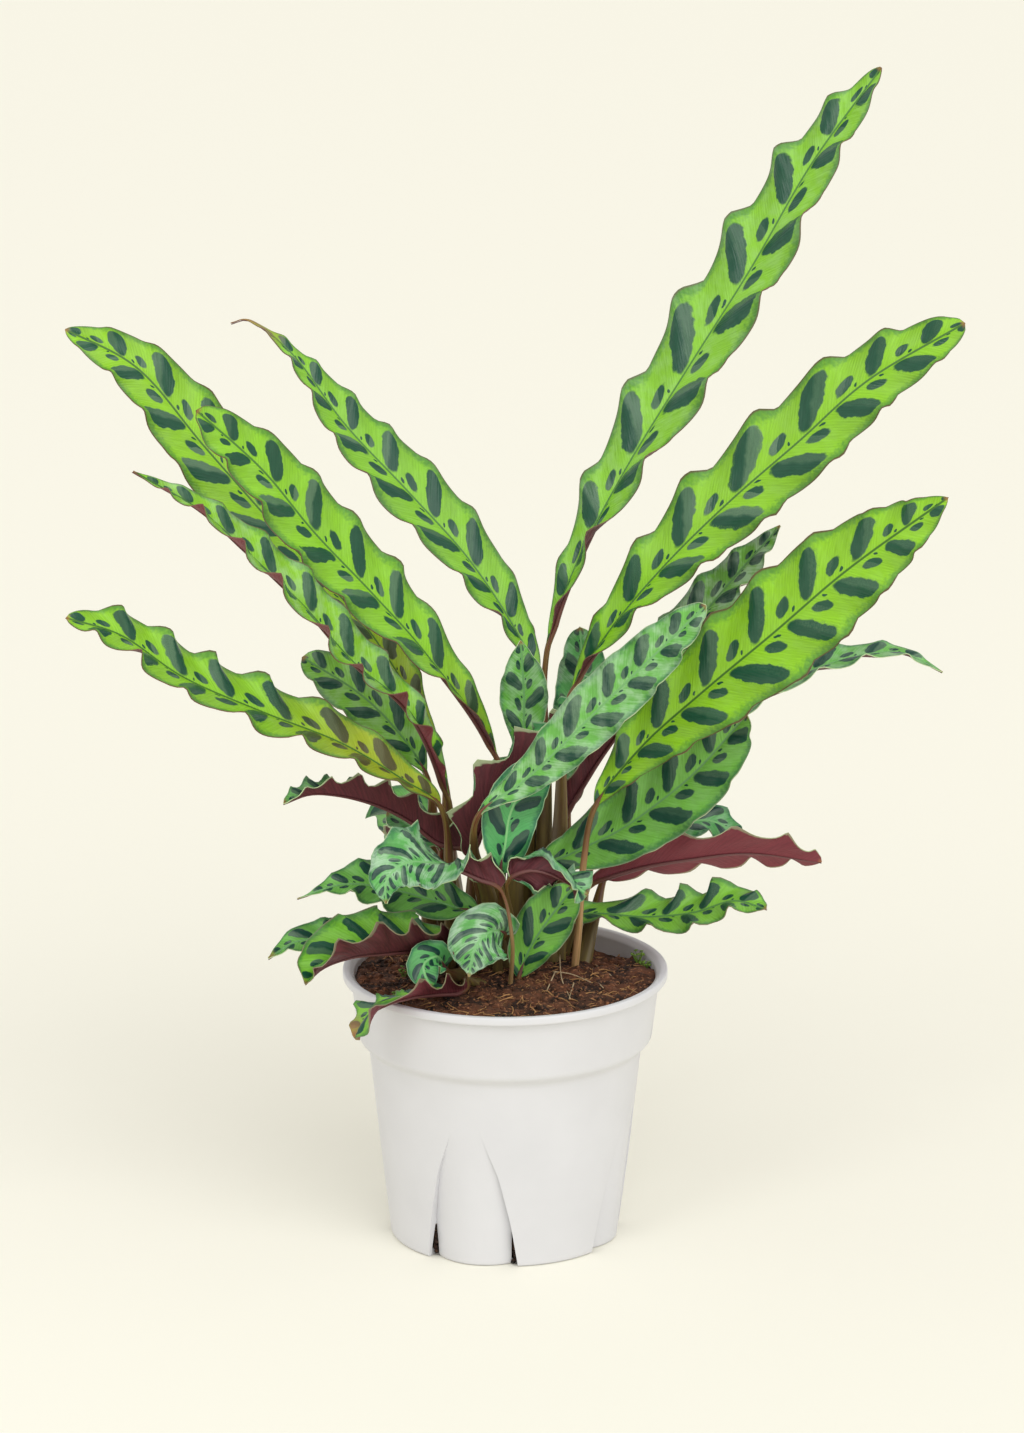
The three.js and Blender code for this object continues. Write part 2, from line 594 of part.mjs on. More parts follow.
addPiece('pot', makePot(), POT_WHITE, POT_ROUGHNESS);
addPiece('soil', makeSoil(), SOIL_BROWN, SOIL_ROUGHNESS);
addPiece('bark_chip', makeBarkChip(), BARK_BROWN, BARK_ROUGHNESS);
for (const leaf of LEAVES) addPiece(leaf.name, makeLeaf(leaf), leaf.colour, LEAF_ROUGHNESS);

export default plant;
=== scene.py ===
# Rattlesnake plant in a white nursery pot, in metres with +Z up. The origin is the centre of the
# pot's underside, +X is the right of the plant as seen from its front, and +Y goes away from there.

import math
import random

import bmesh
import bpy
from bpy.props import FloatProperty, FloatVectorProperty, IntProperty, PointerProperty
from mathutils import Euler, Matrix, Vector, noise


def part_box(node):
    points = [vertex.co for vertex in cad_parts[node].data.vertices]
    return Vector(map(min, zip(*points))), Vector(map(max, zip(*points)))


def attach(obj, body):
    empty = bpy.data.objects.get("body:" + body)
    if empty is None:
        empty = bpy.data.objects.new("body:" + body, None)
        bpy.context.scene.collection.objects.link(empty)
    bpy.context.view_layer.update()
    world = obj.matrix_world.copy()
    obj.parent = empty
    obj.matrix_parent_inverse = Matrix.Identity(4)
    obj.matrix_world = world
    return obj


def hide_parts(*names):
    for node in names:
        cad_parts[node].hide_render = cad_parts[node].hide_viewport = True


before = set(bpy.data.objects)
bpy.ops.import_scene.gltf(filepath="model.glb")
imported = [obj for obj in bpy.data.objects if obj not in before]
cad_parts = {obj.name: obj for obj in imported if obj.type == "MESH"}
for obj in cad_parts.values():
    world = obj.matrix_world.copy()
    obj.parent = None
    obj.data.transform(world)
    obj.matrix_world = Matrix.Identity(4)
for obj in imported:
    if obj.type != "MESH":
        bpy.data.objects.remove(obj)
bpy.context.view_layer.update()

bl_info = {
    "name": "Potted Rattlesnake Plant",
    "version": (1, 0, 0),
    "blender": (4, 5, 0),
    "location": "View3D > Sidebar > Plant",
    "description": "Builds a rattlesnake plant with wavy spotted leaves in a white nursery pot",
    "category": "Object",
}

MM = 0.001
POT_LOW, POT_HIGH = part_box("pot")
SOIL_LOW, SOIL_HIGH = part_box("soil")
CHIP_LOW, CHIP_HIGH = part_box("bark_chip")

# The picture that the leaves are read from, in pixels: its height, its middle and its focal length
PICTURE_HEIGHT = 1433
PICTURE_COLUMN = 512
PICTURE_ROW = 716.5
PICTURE_FOCAL = 6821

# Where the picture was taken from: to the right of the pot's axis, in front of it and above its
# base, in millimetres, and how far the camera looks down
CAMERA_X = 4
CAMERA_DISTANCE = 3790
CAMERA_HEIGHT = 1408
CAMERA_PITCH = math.radians(16.1)
SENSOR = 36

# The leaves, in millimetres and degrees. foot is where the stalk enters the soil, and stalk holds
# points that it bends through. seen holds points on the midrib from the blade's base to its tip,
# read off the picture: column and row in pixels, the depth Y that was chosen for the point,
# and the turn of the upper side away from a viewer at the front: past 90 the underside faces the
# viewer. Leaves at the back, which the picture doesn't show, have x, y, z and turn in blade instead.
# wave is the height of the ripples, and spacing the distance between two large ovals. tone is 0 on a
# young yellow-green leaf and 1 on a bluish one.
#
# A row may leave out what USUAL_LEAF has. fold is how far each half of the blade is raised, cup
# raises the halves further at the base, up to the part of the length in cup_end, and curl bends the
# edges up or, with a minus sign, down and under. base and blunt tell how slowly the blade widens and
# narrows: a small value gives a full, round end. skew below 1 puts the widest part nearer the base.
# calm is the part of the length over which the ripples grow, and cusp sets points on the edge at the
# crests, or with a minus sign makes lobes that end in a notch. sheath is how wide the stalk's foot
# is, slim below 1 makes the stalk thinner, and straw tells how dry it is. age and old are how yellow
# the blade's base is and how far that reaches, dry is the length of the brown tip, and blush how
# pink the underside is. The last key is how much glare is painted on the upper side, as pale
# patches that stand in for glossy highlights.
USUAL_LEAF = dict(
    stalk=[], fold=14, cup=25, cup_end=0.45, curl=0, base=0.8, blunt=0.48, skew=1.2, calm=0.1,
    cusp=-0.035, sheath=4.2, slim=1, straw=0.15, age=0, old=0.01, dry=3, blush=0, painted_glare=0.05,
)
LEAVES = [
    dict(name="leaf_left_tall", foot=(-30, 60), stalk=[(-34, 56, 215)], width=52, fold=12,
         wave=3.2, spacing=42, tone=0, cup=20, age=0.35, old=0.4, blunt=0.6, sheath=8,
         seen=[(440, 760, 50, 40), (374, 637, 55, 35), (285, 538, 63, 28), (205, 447, 72, 26),
               (136, 366, 80, 22), (66, 329, 86, 15)]),
    dict(name="leaf_left_front", foot=(-8, 42), stalk=[(-2, 34, 220)], width=48, fold=16,
         wave=3.8, spacing=41, tone=0.08, cup=45, cusp=-0.06, blunt=0.42, calm=0.4, age=0.2, old=0.3,
         seen=[(499, 761, 25, 65), (428, 655, 8, 45), (375, 595, -5, 35), (315, 532, -18, 30),
               (262, 469, -30, 25), (196, 410, -42, 20)]),
    dict(name="leaf_left_twisted", foot=(-23, 36), stalk=[(-31, 36, 205)], width=36, fold=30,
         wave=4.5, spacing=38, tone=0.08, cup=35, blunt=1.0, painted_glare=0.35, blush=0.9, sheath=9,
         seen=[(448, 800, 20, 70), (409, 710, -12, 58), (352, 661, -34, 52), (305, 605, -50, 55),
               (245, 549, -64, 60), (199, 509, -74, 60), (133, 471, -84, 35)]),
    dict(name="leaf_left_short", foot=(-38, 52), stalk=[(-42, 50, 215)], width=36, fold=12,
         wave=3.6, spacing=30, tone=0.35, painted_glare=0.3, sheath=7,
         seen=[(426, 776, 29, 20), (393, 726, 25, 20), (360, 695, 26, 20), (303, 656, 32, 20)]),
    dict(name="leaf_left_low", foot=(-30, 26), stalk=[(-32, 12, 210)], width=40, fold=20,
         wave=5, spacing=40, tone=0.05, age=0.55, old=0.5, cup=20, base=0.45, cusp=-0.09, calm=0.5,
         seen=[(440, 806, -5, 40), (404, 780, -18, 40), (343, 743, -38, 40), (263, 711, -62, 48),
               (183, 676, -84, 48), (120, 634, -100, 48), (66, 617, -112, 30)]),
    dict(name="leaf_upper_left_curled", foot=(6, 65), stalk=[(14, 62, 240)], width=44,
         wave=3.6, spacing=39, tone=0.15, sheath=6, blunt=1.5, skew=0.88, dry=34, cup=20,
         seen=[(537, 676, 57, 35), (519, 635, 69, 35), (470, 559, 87, 35), (409, 492, 104, 35),
               (346, 424, 122, 40), (289, 350, 134, 50), (247, 318, 139, 60), (230, 322, 142, 60)]),
    dict(name="leaf_centre_upright", foot=(4, 40), stalk=[(6, 34, 215)], width=29,
         wave=2.5, spacing=28, tone=0.6, painted_glare=0.6, blunt=0.9,
         seen=[(515, 760, 36, 10), (523, 736, 35, 5), (524, 700, 32, 0), (521, 641, 27, 0)]),
    dict(name="leaf_tallest", foot=(20, 70), stalk=[(23, 65, 250)], width=54,
         wave=6, spacing=58, tone=0.15, sheath=10, cup=40, blunt=0.62, painted_glare=0.15, cusp=-0.12,
         seen=[(547, 646, 62, -60), (577, 562, 70, -45), (625, 470, 84, -38), (690, 365, 102, -38),
               (750, 270, 118, -38), (812, 161, 136, -38), (881, 68, 150, -30)]),
    dict(name="leaf_right_tall", foot=(28, 45), stalk=[(32, 40, 230)], width=54, fold=12,
         wave=4.6, spacing=50, tone=0.03, sheath=9, cup=45, cusp=-0.13,
         seen=[(570, 694, 36, -60), (604, 637, 36, -35), (660, 569, 37, -28), (727, 505, 38, -25),
               (799, 441, 38, -22), (867, 381, 38, -20), (965, 322, 36, -15)]),
    dict(name="leaf_right_bright", foot=(41, 18), stalk=[(43, 10, 182), (46, -4, 230)], width=60, fold=10,
         wave=4, spacing=46, tone=0, cup=5, base=0.6, sheath=0.1, straw=1, blunt=0.7, cusp=-0.09,
         seen=[(595, 807, -14, -20), (640, 748, -26, -14), (702, 693, -45, -10), (773, 633, -68, -8),
               (846, 572, -94, -8), (947, 498, -128, -8)]),
    dict(name="leaf_right_matt", foot=(32, 58), stalk=[(32, 55, 190)], width=38,
         wave=5, spacing=34, tone=0.5, sheath=8, base=0.45, blunt=0.8, painted_glare=0.8,
         seen=[(560, 830, 51, -140), (590, 770, 54, -120), (640, 700, 60, -65), (694, 624, 66, -35),
               (732, 580, 72, -30), (780, 526, 78, -25)]),
    dict(name="leaf_purple_left", foot=(-14, 32), stalk=[(-20, 24, 195)], width=30, fold=50,
         wave=1, spacing=20, tone=0.7,
         cusp=0.3, cup=5, base=0.35, blunt=0.5, skew=0.75, painted_glare=0.5, sheath=7,
         seen=[(468, 852, 14, 110), (439, 841, 10, 108), (411, 820, 3, 106), (378, 803, -8, 104),
               (338, 793, -22, 98), (308, 794, -34, 78), (284, 803, -44, 40)]),
    dict(name="leaf_purple_centre", foot=(-6, 24), stalk=[(-14, 14, 200)], width=46, fold=45,
         wave=1, spacing=25, tone=0.8, cusp=0.32, cup=5, base=0.7, skew=0.8, sheath=7,
         seen=[(473, 858, 2, -112), (481, 826, -5, -110), (499, 799, -9, -108), (528, 771, -9, -104),
               (566, 735, -3, -90), (637, 672, 8, -35)]),
    dict(name="leaf_teal_front", foot=(-3, 14), stalk=[(-10, 2, 205), (-18, -15, 238)], width=35, fold=12,
         wave=3.2, spacing=32, tone=0.65, cup=5, base=0.6, painted_glare=0.6,
         seen=[(480, 812, -35, -10), (523, 782, -38, -10), (556, 751, -48, -10), (594, 713, -58, -10),
               (641, 668, -70, -12), (706, 606, -86, -20)]),
    dict(name="leaf_teal_lower", foot=(2, 20), stalk=[(0, 4, 190)], width=33,
         wave=3, spacing=30, tone=1, base=0.3, cup=10, painted_glare=0.05,
         seen=[(500, 873, -22, 15), (505, 846, -24, 10), (511, 815, -23, 5), (524, 788, -22, 0),
               (546, 762, -19, 0)]),
    dict(name="leaf_right_glossy", foot=(25, 30), stalk=[(20, 26, 180)], width=49, fold=12,
         wave=3.5, spacing=38, tone=0.5, cup=5, base=0.5, painted_glare=0.1,
         seen=[(540, 872, 22, -20), (573, 853, 19, -18), (619, 831, 13, -18), (656, 804, 4, -15),
               (696, 772, -8, -12), (747, 714, -26, -5)]),
    dict(name="leaf_purple_right", foot=(35, 48), stalk=[(40, 45, 175)], width=36, fold=12,
         wave=4, spacing=32, tone=0.5, sheath=2, blush=0.7, cusp=0.1, base=0.45,
         seen=[(590, 886, 43, -140), (631, 868, 45, -132), (685, 858, 49, -128), (750, 852, 55, -125),
               (822, 862, 62, -120)]),
    dict(name="leaf_curled_centre", foot=(11, 3), stalk=[(4, -2, 192)], width=38, fold=16,
         wave=4, spacing=18, tone=0.9,
         sheath=0.3, slim=0.7, cusp=-0.12, base=0.22, painted_glare=0.6, cup=45, cup_end=0.7, curl=-200,
         seen=[(511, 878, -35, -180), (531, 871, -39, -180), (553, 873, -42, -130),
               (588, 894, -43, -10)]),
    dict(name="leaf_right_low", foot=(22, 40), stalk=[(21, 38, 164)], width=30,
         wave=5, spacing=32, tone=0.3, sheath=1.5, cusp=-0.12, painted_glare=0.1,
         seen=[(540, 930, 34, -45), (586, 914, 29, -45), (649, 917, 18, -45), (696, 911, 2, -45),
               (734, 900, -14, -40), (766, 908, -30, -35)]),
    dict(name="leaf_front_upright", foot=(8, -9), width=33,
         wave=3, spacing=26, tone=0.45, sheath=1, base=0.5,
         seen=[(519, 977, -9, -10), (530, 950, -8, -10), (546, 922, -6, -10), (574, 886, -3, -10)]),
    dict(name="leaf_shell_front", foot=(-4, 4), stalk=[(-5, -6, 178)], width=38, fold=10,
         wave=2.6, spacing=11, tone=0.8, sheath=1, base=0.35, blunt=1.25, cusp=0.05, painted_glare=0.95,
         seen=[(505, 933, -18, 0), (490, 932, -37, 0), (476, 946, -45, 0), (469, 977, -50, 0)]),
    dict(name="leaf_shell_left", foot=(3, -19), stalk=[(4, -33, 190)], width=44,
         wave=3.6, spacing=15, tone=0.85,
         sheath=0.1, slim=0.6, straw=0.6, base=0.28, blunt=1.1, cusp=-0.13, painted_glare=0.9,
         seen=[(500, 888, -29, 118), (478, 876, -30, 122), (452, 866, -32, 108), (430, 862, -42, 50),
               (404, 864, -54, 15), (386, 880, -62, 5), (387, 904, -64, 10)]),
    dict(name="leaf_left_behind_shell", foot=(-22, 6), stalk=[(-20, 4, 185)], width=38,
         wave=3, spacing=26, tone=0.6, base=0.5, blunt=1.9, skew=0.85,
         seen=[(474, 914, 2, 30), (452, 906, 0, 32), (422, 897, -4, 36), (388, 888, -10, 40),
               (345, 884, -20, 40), (297, 899, -32, 35)]),
    dict(name="leaf_left_rim_back", foot=(-38, 30), width=23,
         wave=3.5, spacing=24, tone=0.6, blunt=1.0, dry=6,
         seen=[(420, 930, 8, 30), (375, 930, -2, 30), (330, 936, -14, 30), (295, 942, -24, 30),
               (268, 958, -34, 30)]),
    dict(name="leaf_left_rim", foot=(-32, 14), width=52, fold=58,
         wave=4.5, spacing=26, tone=0.3, cup=0, cusp=0.06, base=0.35,
         seen=[(450, 945, -16, 66), (422, 949, -34, 66), (387, 951, -52, 66), (350, 957, -70, 62),
               (322, 968, -82, 50), (305, 984, -90, 25)]),
    dict(name="leaf_small_dark", foot=(-28, -6), width=22, fold=10,
         wave=2.5, spacing=14, tone=0.95,
         seen=[(447, 970, -34, 20), (437, 957, -45, 15), (423, 965, -56, 5), (430, 988, -61, 0)]),
    dict(name="leaf_over_rim", foot=(-18, -14), stalk=[(-22, -21, 160)], width=34, fold=12,
         wave=4, spacing=22, tone=0.3, blush=0.3, dry=14, cusp=0.12, base=0.4,
         seen=[(466, 989, -36, 104), (440, 992, -56, 102), (412, 996, -74, 98), (388, 1003, -84, 88),
               (368, 1014, -86, 70), (354, 1036, -80, 50)]),
    dict(name="leaf_right_far", foot=(40, 60), stalk=[(50, 62, 205)], width=28,
         wave=2.5, spacing=34, tone=0.65, blunt=0.9, painted_glare=0.4,
         seen=[(620, 800, 66, -60), (700, 735, 76, -60), (770, 692, 86, -62), (815, 668, 93, -64),
               (868, 653, 101, -64), (903, 652, 106, -60), (943, 672, 110, -50)]),
    dict(name="leaf_small_right", foot=(46, 40), stalk=[(53, 48, 180)], width=28,
         wave=3.5, spacing=24, tone=0.9, painted_glare=0.5,
         seen=[(610, 868, 56, -40), (660, 836, 62, -40), (705, 820, 68, -40), (744, 835, 72, -35)]),
    dict(name="leaf_small_left", foot=(-42, 38), stalk=[(-45, 37, 190)], width=28,
         wave=3.5, spacing=24, tone=0.9, painted_glare=0.5,
         seen=[(441, 850, 31, 30), (430, 840, 31, 30), (411, 826, 29, 30), (388, 812, 27, 30)]),
    dict(name="leaf_centre_back", foot=(31, 72), stalk=[(35, 75, 195)], width=34,
         wave=3, spacing=30, tone=0.9, sheath=6, painted_glare=0.6,
         seen=[(570, 800, 78, 0), (578, 740, 82, 0), (583, 680, 84, 0), (580, 628, 82, 0)]),
    dict(name="leaf_back_left", foot=(-32, 70), stalk=[(-36, 78, 184)], width=36,
         wave=4, spacing=30, tone=0.7,
         blade=[(-41, 90, 205, 20), (-54, 118, 214, 20), (-66, 148, 210, 20), (-74, 172, 190, 20)]),
    dict(name="leaf_back_middle", foot=(6, 76), stalk=[(6, 84, 190)], width=40,
         wave=4, spacing=32, tone=0.6,
         blade=[(5, 102, 212, 0), (3, 138, 226, 0), (1, 176, 216, 0), (-1, 208, 192, 0)]),
    dict(name="leaf_back_right", foot=(42, 66), stalk=[(46, 74, 185)], width=36,
         wave=4, spacing=30, tone=0.7,
         blade=[(52, 88, 206, -20), (72, 116, 222, -20), (90, 144, 220, -20), (105, 165, 205, -20)]),
]

# Pot, in millimetres: its wall and floor, lip, band and tapered body, and how far each corner is
# rounded
WALL = 2.0
FLOOR = 2.4
LIP_HEIGHT = 5.0
LIP_WIDTH = 3.6
BAND_TOP_RADIUS = 90.2
BAND_BOTTOM_RADIUS = 86.0
BAND_BOTTOM_Z = 121.0
BODY_TOP_RADIUS = 80.0
BODY_TOP_Z = 116.0
BASE_RADIUS = 67.3
FOOT_ROUNDING = 2.5
STEP_ROUNDING = 2.5
BAND_ROUNDING = 1.0
LIP_ROUNDING = 1.2
RIM_ROUNDING = 1.4
INSIDE_ROUNDING = 1.5
SHARP_ANGLE = math.radians(32)

# Four inset bulges at the pot's foot, which fade out upwards: height, half their reach round the
# pot in degrees, and how deep their sides are set in
BULGES = 4
BULGE_AZIMUTH = -17.5
BULGE_COLUMNS = 17
PANEL_COLUMNS = 31
BULGE_ROWS = [(0, 24, 7.5), (2.5, 23.6, 7.2), (28, 20, 5), (57, 14.5, 2.4), (74, 9.5, 0.7), (83, 7, 0)]
ROW_STEP = 3.0
SLOT_HEIGHT = 28.0
SLOT_DEPTH = 7.0
SLOT_WIDTH = 4.4
SLOT_BELOW = 1.0

# Soil, in millimetres. The dip is at x and y, with its depth and reach.
SOIL_WALL_GAP = 1.4
SOIL_FLOOR_GAP = 0.5
SOIL_EDGE_RADIUS = 88.0
SOIL_EDGE_Z = 156.0
SOIL_MIDDLE_Z = 156.5
SOIL_DIP = (58, 56, 7, 28)
FOOT_Z = 156.5

# Straws on the soil, as points x, y and height above it, and sprigs as x, y, height and reach
STRAWS = [
    [(28, 3, 1.5), (38, -2, 2.5), (50, -16, 0.8)],
    [(32, 26, 5), (33, -10, 2), (38, -43, 0.5)],
    [(53, 29, 1), (62, -4, 1.5)],
    [(40, -16, 1), (37, -43, 1)],
    [(54, -14, 1), (57, -27, 2)],
    [(29, -3, 3), (24, -34, 0.8)],
]
SPRIGS = [(78, 28, 7, 5), (82, 20, 5, 4), (-59, -4, 7, 4), (-63, -38, 4, 3)]
SOIL_ROWS = 38

# Lumps and clods of the soil: how many to a metre, the noise's roughness, gain and octaves, their share
# of the soil's lumpiness, and how much calmer it is at the wall
LUMPS_PER_METRE = 60
LUMP_FRACTAL = (1.0, 2.1, 4)
LUMP_SHARE = 0.6
CLODS_PER_METRE = 210
CLOD_SHARE = 0.45
WALL_CALM = 0.3

# Loose things on the soil, in millimetres: least and largest size, and the part of it that is sunk
# in. Crumbs in a slot spread to its sides, and stay clear of the wall outside and of the table.
CRUMB_SHAPES = 5
CRUMB_ROUGHNESS = (0.7, 1.25)
CRUMB_FLATNESS = 0.75
CRUMB_SIZES = (1.5, 4.5)
CRUMB_SINK = 0.05
CRUMBS_PER_CLUMP = 4
CLUMP_SIZES = (5, 9)
CLUMP_SINK = 0.12
FIBRE_SIZES = (4, 11)
FIBRE_SINK = -0.07
SCATTER_MARGIN = 4
FIBRE_MARGIN = 3
SCATTER_TILTS = (0.5, 0.4)
SURFACE_TOLERANCE = 0.1
SLOT_CRUMBS = 60
SLOT_CRUMB_SIZES = (2.2, 3.6)
SLOT_SPREAD = 1.2
SLOT_CLEAR = 2
SLOT_LOW = 1.6
SLOT_TILT = 3
STRAW_RADIUS = 0.45
TUBE_SIDES = 5
TUBE_THINNING = 0.5

# A sprig: its stems, how far each leans out and rises, where it starts and bends, and its leaf's size
MOSS_RADIUS = 0.3
SPRIG_SINK = 1
SPRIG_STEMS = 9
GOLDEN_ANGLE = 2.4
STEM_REACHES = (0.3, 1)
STEM_HEIGHTS = (0.6, 1)
STEM_START = 0.3
STEM_BEND = 0.6
MOSS_LEAF = (0.9, 1.5, 0.35)
MOSS_LEAN = 0.7

# A coir fibre one unit long: its radii at both ends, how far each shape bends and kinks, and its rise
FIBRE_RADII = (0.05, 0.02)
FIBRE_CUTS = 5
FIBRE_BENDS = [(0.2, 0.0), (-0.5, 0.02), (0.8, -0.02), (0.05, 0.03)]
KINKS = 9
FIBRE_RISE = 0.12
FIBRE_RISES = 6

# The pale root in a drain slot, as points x, y and z
ROOT_POINTS = [(-2.5, 1.5, 27), (-1.6, -1.2, 23), (-1.4, -1.4, 17), (-1.8, 1.2, 12)]
ROOT_RADIUS = 1.5
ROOT_INSET = 4.5

# Places of the soil's materials after its peat, which is 0
COIR_SLOT = 1
STRAW_SLOT = 2
MOSS_SLOT = 3

# Bark chip: its size, its turn in degrees, how high its middle lies, how much its ends taper, and its
# jags as how many there are and how high
BARK_SIZE = (13, 7, 3)
BARK_TURN = -20
BARK_RISE = 1.8
BARK_TAPER = 0.35
BARK_CUTS = 7
BARK_SHARE = 0.9
BARK_JAGS = [(5, 0.16), (13, 0.08)]

# Leaf sections
STALK_DEPTH = 8.0
STALK_FOOT = 2.3
STALK_TOP = 1.7
RIB_TIP = 0.3
SHEATH_END = 0.9
LINE_STEPS = 24
TUBE_STRIDE = 4
RING_STEP = 4.0
STALK_SIDES = 10
SHEATH_RISE = 0.35
RIB_POWER = 0.6
RIB_DEPTH = 0.85
RIB_SINKS_OVER = 12
LEAST_RINGS = 12
VIEWER = Vector((0, -0.96, 0.28))
OVAL_SLANT = math.radians(43)
VEIN_SPACING = 2.4

# Blade, in millimetres and as parts of its length or of its half width. The rows of its mesh lie
# closer at both ends and the columns closer at the midrib, and it is at least as wide as its stalk
# at the collar. Narrow parts have closer ovals and lower ripples, which also fade out at the tip.
LEAST_ROWS = 20
ROW_EASE = 0.4
COLUMN_EASE = 1.15
LEAST_HALF_WIDTH = 0.3
COLLAR = 0.04
COLLAR_FIT = 0.8
LEAST_SPACING = 0.55
WIDTH_SPACING = 0.45
NARROW = 12
TIP_CALM = 0.06
CUP_POWER = 1.5
CURL_END = 0.7
CURL_STEEPNESS = 4
CURL_POWER = 3
RIPPLE_POWER = 1.5
RIPPLE_LAG = 0.03
JITTER = 0.16
JITTER_RATE = 0.9
UNEVENNESS = 0.7
UNEVENNESS_RATE = 0.7
SWELL = 2
SWELL_LENGTH = 25
SWELL_WIDTH = 16
GROOVE_DEPTH = 0.6
GROOVE_WIDTH = 1.5
GROOVE_FULL_WIDTH = 4

# One ripple: how far its crest leans, its height, and its crease with its width, and one lobe of the
# edge: where it starts, and how much of the ripple it and then its notch take
RIPPLE_LEAN = 0.09
RIPPLE_HEIGHT = 0.8
CREASE_HEIGHT = 0.3
CREASE_WIDTH = 0.1
LOBE_START = 0.33
LOBE_SHARE = 0.82
NOTCH_SHARE = 0.18

# How the dry tip and the yellow base fade, and the steps between the random seeds of two leaves, for
# their ovals and for their waves
DRY_POWER = 0.7
AGE_STEEPNESS = 2
SEED_STEP = 13
WAVE_SEED_STEP = 7.3

# Stage: the floor's radius in metres, and the lights' sizes and places in metres and turns in degrees
FLOOR_RADIUS = 16
FLOOR_SIDES = 96
SKY_COLOUR = (1.0, 0.985, 0.95, 1)
KEY_SPREAD = 50
KEY_TURN = (50, 14, 14)
WINDOW_SIZE = 0.9
WINDOW_PLACE = (-1.3, -1.9, 1.9)
WINDOW_TURN = (52, 0, -34)
FAR_CLIP = 60


def linear(text):
    """An sRGB colour such as "8CC63F" as linear red, green and blue."""
    parts = [int(text[i:i + 2], 16) / 255 for i in (0, 2, 4)]
    return tuple(p / 12.92 if p <= 0.04045 else ((p + 0.055) / 1.055) ** 2.4 for p in parts)


def colour_property(name, description, text):
    """A colour setting whose default is an sRGB hex value."""
    return FloatVectorProperty(name=name, description=description, subtype="COLOR", size=3,
                               min=0, max=1, default=linear(text))


class PotSettings(bpy.types.PropertyGroup):
    """Sizes and colour of the nursery pot."""
    height: FloatProperty(name="Height", description="From the underside to the rim",
                          default=POT_HIGH.z, min=0.05, unit="LENGTH")
    rim_radius: FloatProperty(name="Rim radius", description="Outside radius of the lip",
                              default=POT_HIGH.x, min=0.03, unit="LENGTH")
    plastic: colour_property("Plastic", "White polypropylene", "DBDBDF")


class SoilSettings(bpy.types.PropertyGroup):
    """What lies on the pot's soil."""
    lump_height: FloatProperty(name="Lumps", description="How far the soil rises and dips",
                               default=4.5 * MM, min=0, unit="LENGTH")
    fibres: IntProperty(name="Fibres", description="Number of coir fibres on the soil",
                        default=330, min=0)
    crumbs: IntProperty(name="Crumbs", description="Number of loose crumbs of peat",
                        default=1250, min=0)
    peat: colour_property("Peat", "Moist dark peat", "6A4029")
    coir: colour_property("Coir", "Dry coir fibre", "CF9B63")
    straw: colour_property("Straw", "Long dry straws", "E3C9A0")
    moss: colour_property("Moss", "Fresh moss and seedlings", "7FA63A")
    bark: colour_property("Bark", "Dry bark chip", "8A6446")


class LeafSettings(bpy.types.PropertyGroup):
    """Thickness, mesh size and colours that all leaves share."""
    thickness: FloatProperty(name="Thickness", description="Thickness of the blade",
                             default=0.5 * MM, min=0.1 * MM, unit="LENGTH")
    mesh_step: FloatProperty(name="Mesh step", description="Length of the blade's mesh faces",
                             default=2.4 * MM, min=1 * MM, unit="LENGTH")
    half_columns: IntProperty(name="Half columns", description="Mesh faces across half a blade",
                              default=11, min=4)
    young: colour_property("Young green", "Ground colour of a young leaf", "8FCB24")
    mature: colour_property("Mature green", "Ground colour of a bluish leaf", "57AC62")
    oval_young: colour_property("Young ovals", "Ovals of a young leaf", "1A5039")
    oval_mature: colour_property("Mature ovals", "Ovals of a bluish leaf", "153E37")
    ageing: colour_property("Ageing", "Yellow of an old leaf", "AFA02A")
    maroon: colour_property("Underside", "Purple underside", "502A2F")
    stalk_foot: colour_property("Stalk foot", "Stalk near the soil", "474423")
    stalk_dry: colour_property("Dry stalk", "Straw-coloured old stalk", "D2A878")
    stalk_top: colour_property("Stalk top", "Stalk below the blade", "6B3526")


class StageSettings(bpy.types.PropertyGroup):
    """Floor, light and camera."""
    floor: colour_property("Floor", "Pale cream floor", "FBF9EC")
    sky_strength: FloatProperty(name="Sky", description="Strength of the even light",
                                default=0.78, min=0)
    key_strength: FloatProperty(name="Key", description="Strength of the soft sun",
                                default=1.0, min=0)
    window_power: FloatProperty(name="Window", description="Power of the soft window in watts",
                                default=9, min=0)


class PlantSettings(bpy.types.PropertyGroup):
    """All settings of the potted plant."""
    pot: PointerProperty(type=PotSettings)
    soil: PointerProperty(type=SoilSettings)
    leaf: PointerProperty(type=LeafSettings)
    stage: PointerProperty(type=StageSettings)


def opaque(colour):
    """A linear colour with full cover, as a colour socket takes it."""
    return (*colour, 1)


def paint(text):
    """An sRGB colour such as "8CC63F" as an opaque linear colour."""
    return opaque(linear(text))


# Settings that many nodes share. A Mix has its part in socket 0 and its colours in 6 and 7, and a Map
# Range its value in 0, what it maps from in 1 and 2, and what it maps to in 3 and 4.
COLOUR = dict(out=2, data_type="RGBA")
SMOOTH = dict(interpolation_type="SMOOTHSTEP")
SOCKETS = dict(colour="Base Color", roughness="Roughness", normal="Normal", specular="Specular IOR Level")


def add(tree, kind, links=None, out=0, **settings):
    """Adds a node with its settings, and its sockets' values or the outputs that feed them."""
    node = tree.nodes.new("ShaderNode" + kind)
    for name, value in settings.items():
        setattr(node, name, value)
    for key, value in (links or {}).items():
        if isinstance(value, bpy.types.NodeSocket):
            tree.links.new(value, node.inputs[key])
        else:
            node.inputs[key].default_value = value
    return node.outputs[out]


